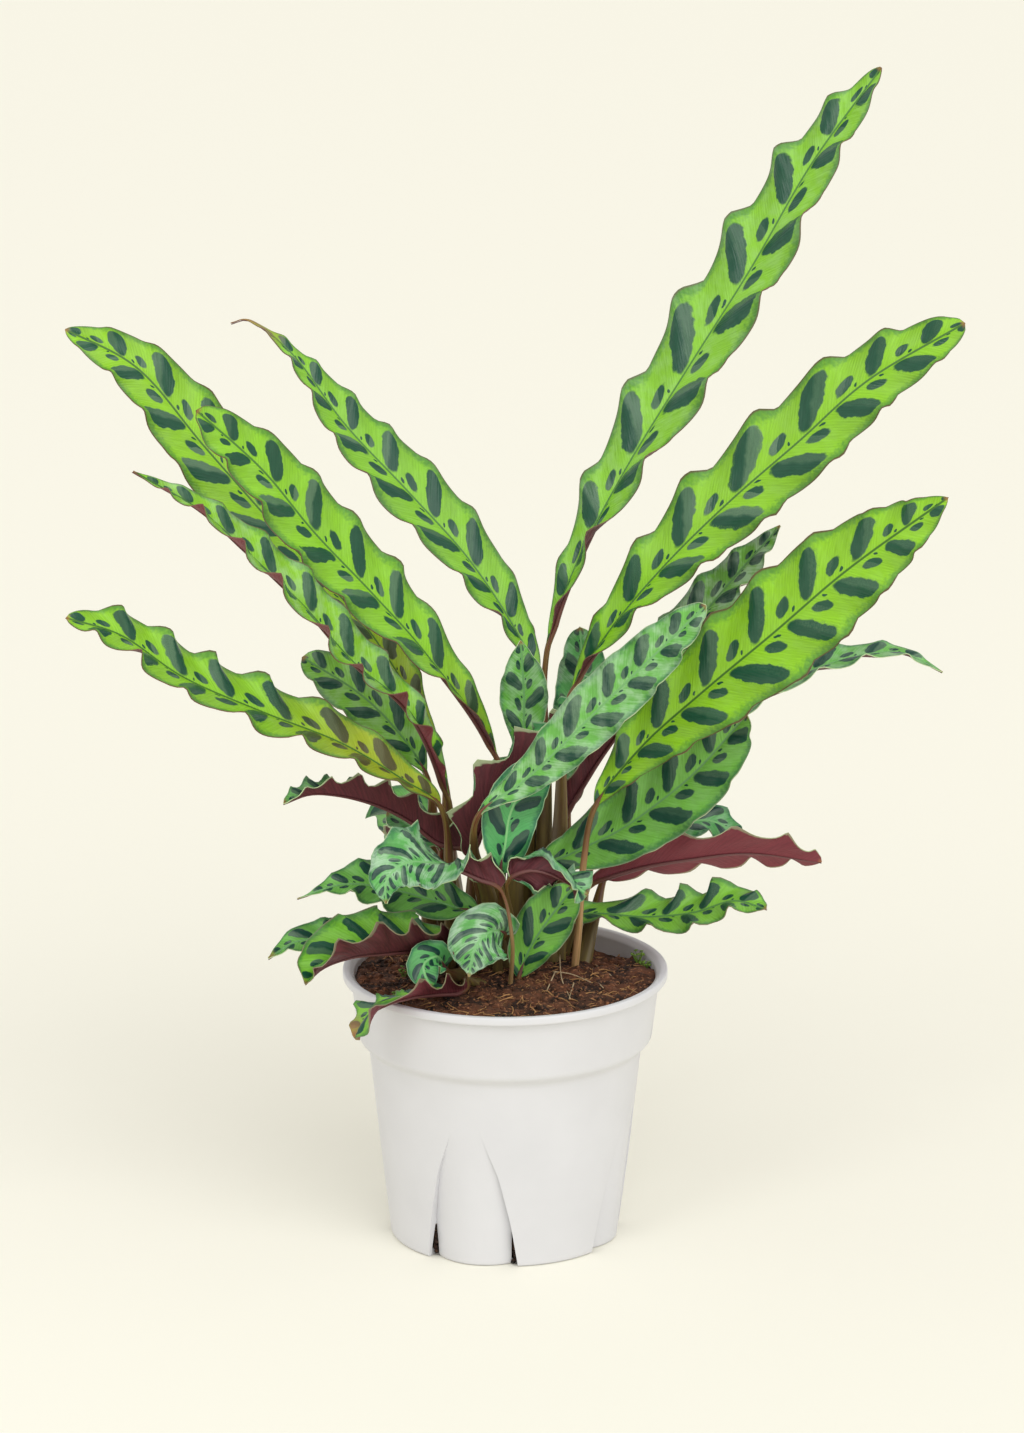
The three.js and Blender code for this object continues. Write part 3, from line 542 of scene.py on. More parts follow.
def new_material(name, **values):
    """A new material's tree, with plain values set on the sockets of its shader."""
    material = bpy.data.materials.new(name)
    material.use_nodes = True
    for key, value in values.items():
        material.node_tree.nodes["Principled BSDF"].inputs[SOCKETS[key]].default_value = value
    return material, material.node_tree


def wire(material, **outputs):
    """Feeds the sockets of the material's shader from outputs of its other nodes."""
    tree = material.node_tree
    for key, output in outputs.items():
        tree.links.new(output, tree.nodes["Principled BSDF"].inputs[SOCKETS[key]])
    return material


def moulded_polypropylene(settings):
    """White polypropylene: satin, slightly uneven in tone, with faint flow marks and scuffs."""
    material, tree = new_material("moulded_polypropylene", roughness=0.42)
    place = add(tree, "TexCoord", out="Object")
    cloud = add(tree, "TexNoise", {"Vector": place, "Scale": 22, "Detail": 3})
    worn = add(tree, "MapRange", {0: cloud, 1: 0.35, 2: 0.7})
    darker = tuple(0.955 * part for part in settings.plastic)
    tone = add(tree, "Mix", {0: worn, 6: opaque(settings.plastic), 7: opaque(darker)}, **COLOUR)
    grain = add(tree, "TexNoise", {"Vector": place, "Scale": 900, "Detail": 2})
    gloss = add(tree, "MapRange", {0: cloud, 1: 0.3, 2: 0.7, 3: 0.36, 4: 0.5})
    bump = add(tree, "Bump", {"Height": grain, "Strength": 0.12, "Distance": 0.1 * MM})
    return wire(material, colour=tone, roughness=gloss, normal=bump)


def moist_peat(settings):
    """Moist peat: dark brown crumbs of mixed tone with lighter dry specks, and painted shade that makes
    it blacker lower down, in the drain slots.
    """
    material, tree = new_material("moist_peat", roughness=0.9)
    place = add(tree, "TexCoord", out="Object")
    coarse = add(tree, "TexNoise", {"Vector": place, "Scale": 75, "Detail": 6})
    fine = add(tree, "TexNoise", {"Vector": place, "Scale": 480, "Detail": 4})
    part = add(tree, "MapRange", {0: coarse, 1: 0.4, 2: 0.62})
    dark = tuple(0.16 * c for c in settings.peat)
    ground = add(tree, "Mix", {0: part, 6: opaque(dark), 7: opaque(settings.peat)}, **COLOUR)
    speck = add(tree, "MapRange", {0: fine, 1: 0.56, 2: 0.66, 3: 0.0, 4: 0.8})
    tone = add(tree, "Mix", {0: speck, 6: ground, 7: paint("A8714C")}, **COLOUR)
    # Painted shade: below 140 mm the peat is painted darker, down to a fifth of its tone below 60 mm,
    # which darkens the crumbs in the drain slots
    height = add(tree, "SeparateXYZ", {0: place}, out="Z")
    dry_tip_and_slot_shade = add(tree, "MapRange", {0: height, 1: 0.06, 2: 0.14, 3: 0.2, 4: 1.0})
    slot_shaded = add(tree, "VectorMath", {0: tone, "Scale": dry_tip_and_slot_shade}, operation="SCALE")
    bump = add(tree, "Bump", {"Height": fine, "Strength": 0.8, "Distance": 0.8 * MM})
    return wire(material, colour=slot_shaded, normal=bump)


def fibrous(name, colour, roughness, grain_mm):
    """Dry plant fibre or bark: streaks of lighter and darker tone along and across it."""
    material, tree = new_material(name, roughness=roughness)
    place = add(tree, "TexCoord", out="Object")
    streak = add(tree, "TexNoise", {"Vector": place, "Scale": 1 / (grain_mm * MM), "Detail": 4})
    part = add(tree, "MapRange", {0: streak, 1: 0.3, 2: 0.7})
    dark = tuple(0.45 * c for c in colour)
    tone = add(tree, "Mix", {0: part, 6: opaque(dark), 7: opaque(colour)}, **COLOUR)
    bump = add(tree, "Bump", {"Height": streak, "Strength": 0.5, "Distance": 0.4 * MM})
    return wire(material, colour=tone, normal=bump)


def leaf_places(tree):
    """Where a point lies on the blade, read from the leaf's two UV maps.

    Gives the place on the skin in millimetres, the count of large ovals up to it, its part of the way
    from the midrib to the edge, its millimetres from the midrib, its place along and across the ovals'
    slant, and the height of the side veins, which run at that slant.
    """
    pattern = add(tree, "UVMap", uv_map="pattern")
    skin = add(tree, "UVMap", uv_map="skin")
    count = add(tree, "SeparateXYZ", {0: pattern}, out="X")
    reach = add(tree, "Math", {0: count.node.outputs["Y"]}, operation="ABSOLUTE")
    along = add(tree, "SeparateXYZ", {0: skin}, out="X")
    from_rib = add(tree, "Math", {0: along.node.outputs["Y"]}, operation="ABSOLUTE")
    slanted = add(tree, "Math", {0: from_rib, 1: -1 / math.tan(OVAL_SLANT), 2: along},
                  operation="MULTIPLY_ADD")
    slant = add(tree, "CombineXYZ", {"X": slanted, "Y": from_rib})
    vein_turn = add(tree, "Math", {0: slanted, 1: 2 * math.pi / VEIN_SPACING}, operation="MULTIPLY")
    vein = add(tree, "Math", {0: vein_turn}, operation="SINE")
    return skin, count, reach, from_rib, slant, vein


def waxy_leaf(settings):
    """Upper side of the leaf: a waxy green ground with dark velvety ovals between fine veins."""
    material, tree = new_material("waxy_spotted_leaf", specular=0.38)
    skin, count, reach, from_rib, slant, vein = leaf_places(tree)
    tone = add(tree, "Attribute", attribute_name="tone", out="Fac")
    age = add(tree, "Attribute", attribute_name="ageing", out="Fac")
    seed = add(tree, "Attribute", attribute_name="seed", out="Fac")

    # Wobble and a random number for each large oval
    wobble = add(tree, "TexNoise", {"Vector": skin, "Scale": 0.16, "Detail": 2})
    shaken = add(tree, "Math", {0: wobble, 1: 0.14, 2: -0.07}, operation="MULTIPLY_ADD")
    moved = add(tree, "Math", {0: count, 1: shaken}, operation="ADD")
    middle = add(tree, "Math", {0: moved, 1: 0.5}, operation="ADD")
    cell = add(tree, "Math", {0: middle}, operation="FLOOR")
    turn = add(tree, "Math", {0: cell, 1: seed}, operation="ADD")
    chance = add(tree, "TexWhiteNoise", {"W": turn}, noise_dimensions="1D")

    # Large ovals: pointed at the midrib, blunt near the margin
    fract = add(tree, "Math", {0: middle}, operation="FRACT")
    offset = add(tree, "Math", {0: fract, 1: 0.5}, operation="SUBTRACT")
    aside = add(tree, "Math", {0: offset}, operation="ABSOLUTE")
    size = add(tree, "MapRange", {0: chance, 3: 0.175, 4: 0.225})
    wide = add(tree, "Math", {0: aside, 1: size}, operation="DIVIDE")
    wide_power = add(tree, "Math", {0: wide, 1: 2.3}, operation="POWER")
    out = add(tree, "Math", {0: reach, 1: 0.45}, operation="SUBTRACT")
    out_part = add(tree, "Math", {0: out, 1: 0.4}, operation="DIVIDE")
    out_size = add(tree, "Math", {0: out_part}, operation="ABSOLUTE")
    bluntness = add(tree, "MapRange", {0: out_part, 1: -0.2, 2: 0.2, 3: 1.9, 4: 4.0})
    out_power = add(tree, "Math", {0: out_size, 1: bluntness}, operation="POWER")
    large_sum = add(tree, "Math", {0: wide_power, 1: out_power}, operation="ADD")
    large = add(tree, "MapRange", {0: large_sum, 1: 0.86, 2: 1.16, 3: 1.0, 4: 0.0}, **SMOOTH)

    # Small ovals and dots between them, close to the midrib
    gap = add(tree, "Math", {0: moved}, operation="FRACT")
    marks = large
    for along, across, half_along, half_across in ((0.5, 0.25, 0.13, 0.14), (0.7, 0.1, 0.03, 0.04)):
        step = add(tree, "Math", {0: gap, 1: along}, operation="SUBTRACT")
        step_part = add(tree, "Math", {0: step, 1: half_along}, operation="DIVIDE")
        step_square = add(tree, "Math", {0: step_part, 1: step_part}, operation="MULTIPLY")
        rise = add(tree, "Math", {0: reach, 1: across}, operation="SUBTRACT")
        rise_part = add(tree, "Math", {0: rise, 1: half_across}, operation="DIVIDE")
        spot_sum = add(tree, "Math", {0: rise_part, 1: rise_part, 2: step_square},
                       operation="MULTIPLY_ADD")
        spot = add(tree, "MapRange", {0: spot_sum, 1: 0.8, 2: 1.25, 3: 1.0, 4: 0.0}, **SMOOTH)
        marks = add(tree, "Math", {0: marks, 1: spot}, operation="MAXIMUM")

    # Ground colour, with streaks along the side veins, a darker band at the margin, and painted light and
    # shade across the ripples
    streak_place = add(tree, "VectorMath", {0: slant, 1: (0.9, 0.12, 1)}, operation="MULTIPLY")
    streak = add(tree, "TexNoise", {"Vector": streak_place, "Scale": 1.0, "Detail": 3})
    ground = add(tree, "Mix", {0: tone, 6: opaque(settings.young), 7: opaque(settings.mature)},
                 **COLOUR)
    aged = add(tree, "Mix", {0: age, 6: ground, 7: opaque(settings.ageing)}, **COLOUR)
    mottle = add(tree, "TexNoise", {"Vector": skin, "Scale": 0.45, "Detail": 3})
    mottled = add(tree, "Math", {0: mottle, 1: 0.3, 2: reach}, operation="MULTIPLY_ADD")
    margin_place = add(tree, "Math", {0: streak, 1: 0.12, 2: mottled}, operation="MULTIPLY_ADD")
    margin = add(tree, "MapRange", {0: margin_place, 1: 0.94, 2: 1.18, 3: 0.0, 4: 0.85}, **SMOOTH)
    margin_colour = add(tree, "Mix", {0: tone, 6: paint("4E8A34"), 7: paint("23684E")}, **COLOUR)
    banded = add(tree, "Mix", {0: margin, 6: aged, 7: margin_colour}, **COLOUR)
    streak_tone = add(tree, "MapRange", {0: streak, 1: 0.25, 2: 0.75, 3: 0.86, 4: 1.14})
    vein_tone = add(tree, "Math", {0: vein, 1: 0.03, 2: streak_tone}, operation="MULTIPLY_ADD")
    # Painted light and shade: each ripple is painted lighter on one flank and darker on the other, more
    # so towards the edge; the ground also darkens a little towards the edge
    crest_turn = add(tree, "Math", {0: moved, 1: 2 * math.pi, 2: -1.3}, operation="MULTIPLY_ADD")
    crest = add(tree, "Math", {0: crest_turn}, operation="COSINE")
    crest_part = add(tree, "Math", {0: crest, 1: reach}, operation="MULTIPLY")
    veins_and_ripple_light = add(tree, "Math", {0: crest_part, 1: 0.15, 2: vein_tone}, operation="MULTIPLY_ADD")
    tone_and_ripple_light = add(tree, "Math", {0: reach, 1: -0.12, 2: veins_and_ripple_light}, operation="MULTIPLY_ADD")
    toned = add(tree, "VectorMath", {0: banded, "Scale": tone_and_ripple_light}, operation="SCALE")

    # Ovals: paler along the half that faces the light
    oval = add(tree, "Mix", {0: tone, 6: opaque(settings.oval_young), 7: opaque(settings.oval_mature)},
               **COLOUR)
    # Painted sheen: the half of each oval on the side the light comes from is painted paler, by a random
    # amount
    painted_sheen_side = add(tree, "MapRange", {0: offset, 1: -0.01, 2: 0.07}, **SMOOTH)
    painted_sheen_part = add(tree, "Math", {0: painted_sheen_side, 1: chance}, operation="MULTIPLY")
    painted_sheen_size = add(tree, "Math", {0: painted_sheen_part, 1: 0.5}, operation="MULTIPLY")
    oval_with_painted_sheen = add(tree, "Mix", {0: painted_sheen_size, 6: oval, 7: paint("7A9A78")}, **COLOUR)
    oval_aged = add(tree, "Mix", {0: age, 6: oval_with_painted_sheen, 7: paint("6E5226")}, **COLOUR)
    oval_toned = add(tree, "VectorMath", {0: oval_aged, "Scale": streak_tone}, operation="SCALE")
    spotted = add(tree, "Mix", {0: marks, 6: toned, 7: oval_toned}, **COLOUR)

    # Painted glare: pale soft patches that stand in for glossy highlights, thin over the ovals
    painted_glare = add(tree, "Attribute", attribute_name="painted_glare", out="Fac")
    patch = add(tree, "TexNoise", {"Vector": skin, "Scale": 0.11, "Detail": 3})
    glare_sum = add(tree, "Math", {0: streak, 1: 0.4, 2: patch}, operation="MULTIPLY_ADD")
    glare = add(tree, "MapRange", {0: glare_sum, 1: 0.62, 2: 0.86, 3: 0.0, 4: 0.75})
    off_ovals = add(tree, "MapRange", {0: marks, 3: 1.0, 4: 0.3})
    glare_off_ovals = add(tree, "Math", {0: glare, 1: off_ovals}, operation="MULTIPLY")
    glare_part = add(tree, "Math", {0: glare_off_ovals, 1: painted_glare}, operation="MULTIPLY")
    glared = add(tree, "Mix", {0: glare_part, 6: spotted, 7: paint("BFDCC0")}, **COLOUR)

    # Midrib and the thin line along the edge
    rib = add(tree, "MapRange", {0: from_rib, 1: 0.4, 2: 0.85, 3: 0.95, 4: 0.0}, **SMOOTH)
    rib_colour = add(tree, "Mix", {0: tone, 6: paint("3A6A22"), 7: paint("8CCB85")}, **COLOUR)
    ribbed = add(tree, "Mix", {0: rib, 6: glared, 7: rib_colour}, **COLOUR)
    edge = add(tree, "MapRange", {0: reach, 1: 0.955, 2: 0.99, 3: 0.0, 4: 0.85}, **SMOOTH)
    edge_colour = add(tree, "Mix", {0: tone, 6: paint("5A3A2C"), 7: paint("9CC49A")}, **COLOUR)
    edged = add(tree, "Mix", {0: edge, 6: ribbed, 7: edge_colour}, **COLOUR)
    dry = add(tree, "Attribute", attribute_name="dry_tip_and_slot_shade", out="Fac")
    dried = add(tree, "Mix", {0: dry, 6: edged, 7: paint("A9794A")}, **COLOUR)

    gloss = add(tree, "MapRange", {0: marks, 3: 0.38, 4: 0.28})
    vein_height = add(tree, "Math", {0: vein, 1: 0.25, 2: marks}, operation="MULTIPLY_ADD")
    height = add(tree, "Math", {0: streak, 1: 0.8, 2: vein_height}, operation="MULTIPLY_ADD")
    bump = add(tree, "Bump", {"Height": height, "Strength": 0.35, "Distance": 0.35 * MM})
    return wire(material, colour=dried, roughness=gloss, normal=bump)


def velvety_underside(settings):
    """Underside of the leaf: velvety purple-maroon with pinkish folds and raised fine veins."""
    material, tree = new_material("velvety_maroon_underside", roughness=0.6, specular=0.32)
    _, _, reach, _, slant, vein = leaf_places(tree)
    tone = add(tree, "Attribute", attribute_name="tone", out="Fac")
    blush = add(tree, "Attribute", attribute_name="blush", out="Fac")
    stretched = add(tree, "VectorMath", {0: slant, 1: (0.6, 0.08, 1)}, operation="MULTIPLY")
    streak = add(tree, "TexNoise", {"Vector": stretched, "Scale": 1.0, "Detail": 4})
    part = add(tree, "MapRange", {0: streak, 1: 0.3, 2: 0.75, 3: 0.0, 4: 0.6})
    blushed = add(tree, "Math", {0: part, 1: blush}, operation="ADD", use_clamp=True)
    colour = add(tree, "Mix", {0: blushed, 6: opaque(settings.maroon), 7: paint("803A42")}, **COLOUR)
    rolled = add(tree, "MapRange", {0: reach, 1: 0.925, 2: 0.95, 3: 0.0, 4: 0.9})
    rolled_part = add(tree, "Math", {0: rolled, 1: tone}, operation="MULTIPLY")
    edged = add(tree, "Mix", {0: rolled_part, 6: colour, 7: paint("B4C79A")}, **COLOUR)
    dry = add(tree, "Attribute", attribute_name="dry_tip_and_slot_shade", out="Fac")
    dried = add(tree, "Mix", {0: dry, 6: edged, 7: paint("A9794A")}, **COLOUR)
    height = add(tree, "Math", {0: vein, 1: 0.4, 2: streak}, operation="MULTIPLY_ADD")
    bump = add(tree, "Bump", {"Height": height, "Strength": 0.4, "Distance": 0.3 * MM})
    return wire(material, colour=dried, normal=bump)


def leaf_edge(settings):
    """The cut-thin edge of the blade: brown on young leaves, pale green on bluish ones."""
    material, tree = new_material("leaf_edge", roughness=0.5)
    tone = add(tree, "Attribute", attribute_name="tone", out="Fac")
    part = add(tree, "MapRange", {0: tone, 1: 0.2, 2: 0.6})
    colour = add(tree, "Mix", {0: part, 6: paint("6E4B36"), 7: paint("B9CE9C")}, **COLOUR)
    return wire(material, colour=colour)


def ribbed_stalk(settings):
    """Stalk and midrib: ochre near the soil, red-brown below the blade, maroon beneath it."""
    material, tree = new_material("ribbed_stalk", roughness=0.45)
    skin = add(tree, "UVMap", uv_map="skin")
    part = add(tree, "Attribute", attribute_name="stalk_part", out="Fac")
    ripe = add(tree, "MapRange", {0: part, 1: 0.35, 2: 0.95}, **SMOOTH)
    straw = add(tree, "Attribute", attribute_name="straw", out="Fac")
    foot = add(tree, "Mix", {0: straw, 6: opaque(settings.stalk_foot), 7: opaque(settings.stalk_dry)},
               **COLOUR)
    stalk = add(tree, "Mix", {0: ripe, 6: foot, 7: opaque(settings.stalk_top)}, **COLOUR)
    stretched = add(tree, "VectorMath", {0: skin, 1: (0.03, 0.9, 1)}, operation="MULTIPLY")
    streak = add(tree, "TexNoise", {"Vector": stretched, "Scale": 1.0, "Detail": 4})
    green_part = add(tree, "MapRange", {0: streak, 1: 0.42, 2: 0.62, 3: 0.0, 4: 0.65})
    striped = add(tree, "Mix", {0: green_part, 6: stalk, 7: paint("8A7A3C")}, **COLOUR)
    on_blade = add(tree, "MapRange", {0: part, 1: 1.0, 2: 1.08})
    colour = add(tree, "Mix", {0: on_blade, 6: striped, 7: paint("6A3D3C")}, **COLOUR)
    bump = add(tree, "Bump", {"Height": streak, "Strength": 0.5, "Distance": 0.3 * MM})
    return wire(material, colour=colour, normal=bump)


def cream_floor(settings):
    """Matt cream paper floor, plain and even."""
    material, tree = new_material("cream_paper", roughness=0.9)
    place = add(tree, "TexCoord", out="Object")
    cloud = add(tree, "TexNoise", {"Vector": place, "Scale": 1.2, "Detail": 1})
    part = add(tree, "MapRange", {0: cloud, 1: 0.3, 2: 0.7, 3: 0.0, 4: 0.02})
    tone = add(tree, "Mix", {0: part, 6: opaque(settings.floor), 7: (0.9, 0.88, 0.8, 1)}, **COLOUR)
    return wire(material, colour=tone)


def put(name, data):
    """Adds an object to the scene."""
    thing = bpy.data.objects.new(name, data)
    bpy.context.scene.collection.objects.link(thing)
    return thing


def finish_piece(name, bm, materials, node):
    """Makes the piece's object from its bmesh, with its body, node and materials."""
    mesh = bpy.data.meshes.new(name)
    for material in materials:
        mesh.materials.append(material)
    bm.to_mesh(mesh)
    bm.free()
    mesh.shade_smooth()
    piece = put(name, mesh)
    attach(piece, "root")
    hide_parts(node)
    return piece


def between(value, rows):
    """The numbers beside value in a table whose rows start with rising places, blended."""
    for low, high in zip(rows, rows[1:]):
        if value <= high[0]:
            break
    part = min(max((value - low[0]) / (high[0] - low[0]), 0), 1)
    return [a + (b - a) * part for a, b in zip(low[1:], high[1:])]


def body_radius(z):
    """Outside radius of the pot's tapered body at a height, in millimetres."""
    return BASE_RADIUS + (BODY_TOP_RADIUS - BASE_RADIUS) * z / BODY_TOP_Z


def round_corners(points, steps=4):
    """Rounds a profile of radius, z, shift and cut: each corner is cut back and bent smoothly."""
    line = []
    for i, (radius, z, shift, cut) in enumerate(points):
        corner = Vector((radius, z))
        if not cut:
            line.append((corner, shift))
            continue
        ends = []
        for neighbour in (points[i - 1], points[i + 1]):
            way = Vector(neighbour[:2]) - corner
            ends.append(corner + way.normalized() * min(cut, way.length / 2))
        for k in range(steps + 1):
            t = k / steps
            line.append((ends[0] * (1 - t) ** 2 + corner * 2 * t * (1 - t) + ends[1] * t ** 2, shift))
    return line


def turn_profile(points):
    """A closed bmesh turned about Z from a profile, with the foot's bulges pushed into it."""
    columns = BULGE_COLUMNS + PANEL_COLUMNS
    pitch = 360 / BULGES / columns
    bm = bmesh.new()
    shift_layer = bm.verts.layers.float.new("shift")
    previous = None
    for place, shift in round_corners(points):
        vert = bm.verts.new((0, -place.x * MM, place.y * MM))
        vert[shift_layer] = shift
        if previous:
            bm.edges.new((previous, vert))
        previous = vert
    bmesh.ops.spin(bm, geom=bm.verts[:] + bm.edges[:], cent=(0, 0, 0), axis=(0, 0, 1),
                   angle=2 * math.pi, steps=BULGES * columns, use_merge=True)
    bmesh.ops.remove_doubles(bm, verts=bm.verts, dist=0.01 * MM)
    for vert in bm.verts:
        radius = vert.co.xy.length / MM
        if radius < 1:
            continue
        column = round(math.degrees(math.atan2(vert.co.x, -vert.co.y)) / pitch) % (BULGES * columns)
        bulge, local = divmod(column, columns)
        half_angle, inset = between(vert.co.z / MM, BULGE_ROWS)
        half = half_angle + math.degrees(vert[shift_layer] / radius)
        if local < BULGE_COLUMNS:
            angle = half * (2 * local / (BULGE_COLUMNS - 1) - 1)
            radius -= inset * (angle / half_angle) ** 2 if radius > BASE_RADIUS / 2 else 0
        else:
            angle = half + (360 / BULGES - 2 * half) * (local - BULGE_COLUMNS) / (PANEL_COLUMNS - 1)
        turn = math.radians(BULGE_AZIMUTH + bulge * 360 / BULGES + angle)
        vert.co.x = radius * MM * math.sin(turn)
        vert.co.y = -radius * MM * math.cos(turn)
    bmesh.ops.recalc_face_normals(bm, faces=bm.faces)
    return bm


def wall_rows(inset, shift, low, high):
    """Profile rows up the pot's lower body, set in from its outside."""
    steps = round((high - low) / ROW_STEP)
    rows = [low + (high - low) * k / steps for k in range(steps + 1)]
    return [(body_radius(z) - inset, z, shift, 0) for z in rows]


def slots():
    """The side of its bulge and the turn about Z of each drain slot, two at a bulge."""
    half_angle = between(SLOT_HEIGHT / 2, BULGE_ROWS)[0]
    for bulge in range(BULGES):
        for side in (-1, 1):
            azimuth = BULGE_AZIMUTH + bulge * 360 / BULGES + side * half_angle
            yield side, Matrix.Rotation(math.radians(azimuth), 4, "Z")


def small_mesh(bm, material_index=0):
    """A mesh of its own from a bmesh, all of one material."""
    for face in bm.faces:
        face.material_index = material_index
    mesh = bpy.data.meshes.new("small")
    bm.to_mesh(mesh)
    bm.free()
    return mesh


def add_mesh(bm, mesh):
    """Adds a mesh to a bmesh and drops the mesh."""
    bm.from_mesh(mesh)
    bpy.data.meshes.remove(mesh)


def cut_out(piece, cutter_mesh):
    """Cuts a mesh out of a piece and drops the cutter."""
    cutter = put("cutter", cutter_mesh)
    cut = piece.modifiers.new("cut", "BOOLEAN")
    cut.object = cutter
    cut.operation = "DIFFERENCE"
    cut.solver = "EXACT"
    cut.use_self = True
    depsgraph = bpy.context.evaluated_depsgraph_get()
    mesh = bpy.data.meshes.new_from_object(piece.evaluated_get(depsgraph))
    piece.modifiers.clear()
    piece.data = mesh
    bpy.data.objects.remove(cutter)


class PLANT_OT_pot(bpy.types.Operator):
    """Turn the white nursery pot with its lip, band and slotted foot"""
    bl_idname = "plant.pot"
    bl_label = "Pot"

    def execute(self, context):
        settings = context.scene.plant.pot
        top = settings.height / MM
        rim = settings.rim_radius / MM
        lip_z = top - LIP_HEIGHT
        outside = [
            (0, 0, 0, 0), (BASE_RADIUS / 3, 0, 0, 0), (BASE_RADIUS * 0.8, 0, 0, 0),
            (BASE_RADIUS, 0, 0, FOOT_ROUNDING),
            *wall_rows(0, 0, FOOT_ROUNDING + 1, BULGE_ROWS[-1][0]),
            (BODY_TOP_RADIUS, BODY_TOP_Z, 0, STEP_ROUNDING),
            (BAND_BOTTOM_RADIUS, BAND_BOTTOM_Z, 0, STEP_ROUNDING),
            (BAND_TOP_RADIUS, lip_z, 0, BAND_ROUNDING), (rim, lip_z, 0, LIP_ROUNDING),
            (rim, top, 0, RIM_ROUNDING),
        ]
        inside = [
            (rim - LIP_WIDTH, top, 0, LIP_ROUNDING),
            (BAND_TOP_RADIUS - WALL, lip_z + WALL, 0, BAND_ROUNDING),
            (BAND_BOTTOM_RADIUS - WALL, BAND_BOTTOM_Z + 1, 0, INSIDE_ROUNDING),
            (BODY_TOP_RADIUS - WALL, BODY_TOP_Z, 0, INSIDE_ROUNDING),
            *wall_rows(WALL, WALL, FLOOR, BULGE_ROWS[-1][0])[::-1],
            (BASE_RADIUS * 0.8, FLOOR, WALL, 0), (BASE_RADIUS / 3, FLOOR, 0, 0), (0, FLOOR, 0, 0),
        ]
        piece = finish_piece("nursery_pot", turn_profile(outside + inside),
                             [moulded_polypropylene(settings)], "pot")
        bm = bmesh.new()
        radius = BASE_RADIUS - WALL - SLOT_DEPTH / 2
        size = Vector((SLOT_WIDTH, SLOT_DEPTH, SLOT_HEIGHT + SLOT_BELOW)) * MM
        for side, turn in slots():
            place = Vector((side * SLOT_WIDTH / 4, -radius, (SLOT_HEIGHT - SLOT_BELOW) / 2)) * MM
            bmesh.ops.create_cube(bm, size=1, matrix=turn @ Matrix.LocRotScale(place, None, size))
        cut_out(piece, small_mesh(bm))
        piece.data.shade_smooth()
        piece.data.set_sharp_from_angle(angle=SHARP_ANGLE)
        return {"FINISHED"}


def soil_height(x, y):
    """Height of the soil's surface at a place, lumpy, and lower towards the wall."""
    radius = math.hypot(x, y)
    part = min(radius / (SOIL_EDGE_RADIUS * MM), 1)
    plain = SOIL_MIDDLE_Z - (SOIL_MIDDLE_Z - SOIL_EDGE_Z) * part ** 3
    dip_x, dip_y, depth, reach = SOIL_DIP
    plain -= depth * math.exp(-((x / MM - dip_x) ** 2 + (y / MM - dip_y) ** 2) / reach ** 2)
    settings = bpy.context.scene.plant.soil
    lumps = noise.fractal(Vector((x, y, 0.3)) * LUMPS_PER_METRE, *LUMP_FRACTAL)
    clods = noise.noise(Vector((x, y, 1.7)) * CLODS_PER_METRE)
    rough = settings.lump_height * (LUMP_SHARE * lumps + CLOD_SHARE * clods)
    return plain * MM + rough * (1 - WALL_CALM * part)


def scatter(bm, shapes, count, spread, sizes, sink, draw):
    """Strews copies of small meshes over the soil, each turned, sized and sunk in a little."""
    roll, pitch = SCATTER_TILTS
    for number in range(count):
        radius = spread * math.sqrt(draw.random())
        angle = draw.uniform(0, 2 * math.pi)
        x, y = radius * math.cos(angle), radius * math.sin(angle)
        size = draw.uniform(*(limit * MM for limit in sizes))
        turn = Euler((draw.uniform(-roll, roll), draw.uniform(-pitch, pitch),
                      draw.uniform(0, 2 * math.pi)))
        place = Matrix.LocRotScale((x, y, soil_height(x, y) - sink * size), turn, (size, size, size))
        copy = shapes[number % len(shapes)].copy()
        copy.transform(place)
        add_mesh(bm, copy)


def fibre_shape(bend, kink):
    """A coir fibre one unit long, with three sides, bent in its plane."""
    bm = bmesh.new()
    bmesh.ops.create_cone(bm, cap_ends=True, segments=3, radius1=FIBRE_RADII[0],
                          radius2=FIBRE_RADII[1], depth=1,
                          matrix=Matrix.Rotation(math.pi / 2, 4, "Y"))
    long_edges = [e for e in bm.edges if abs(e.verts[0].co.x - e.verts[1].co.x) > 0.5]
    bmesh.ops.subdivide_edges(bm, edges=long_edges, cuts=FIBRE_CUTS)
    for vert in bm.verts:
        along = vert.co.x
        vert.co.y += bend * (along * along - 0.25) + kink * math.sin(KINKS * along)
        vert.co.z += FIBRE_RISE * bend * math.sin(FIBRE_RISES * along)
    return small_mesh(bm, COIR_SLOT)


def crumb_shape(draw):
    """A crumb of peat one unit across."""
    bm = bmesh.new()
    bmesh.ops.create_icosphere(bm, subdivisions=1, radius=0.5)
    for vert in bm.verts:
        vert.co *= draw.uniform(*CRUMB_ROUGHNESS)
        vert.co.z *= CRUMB_FLATNESS
    return small_mesh(bm)


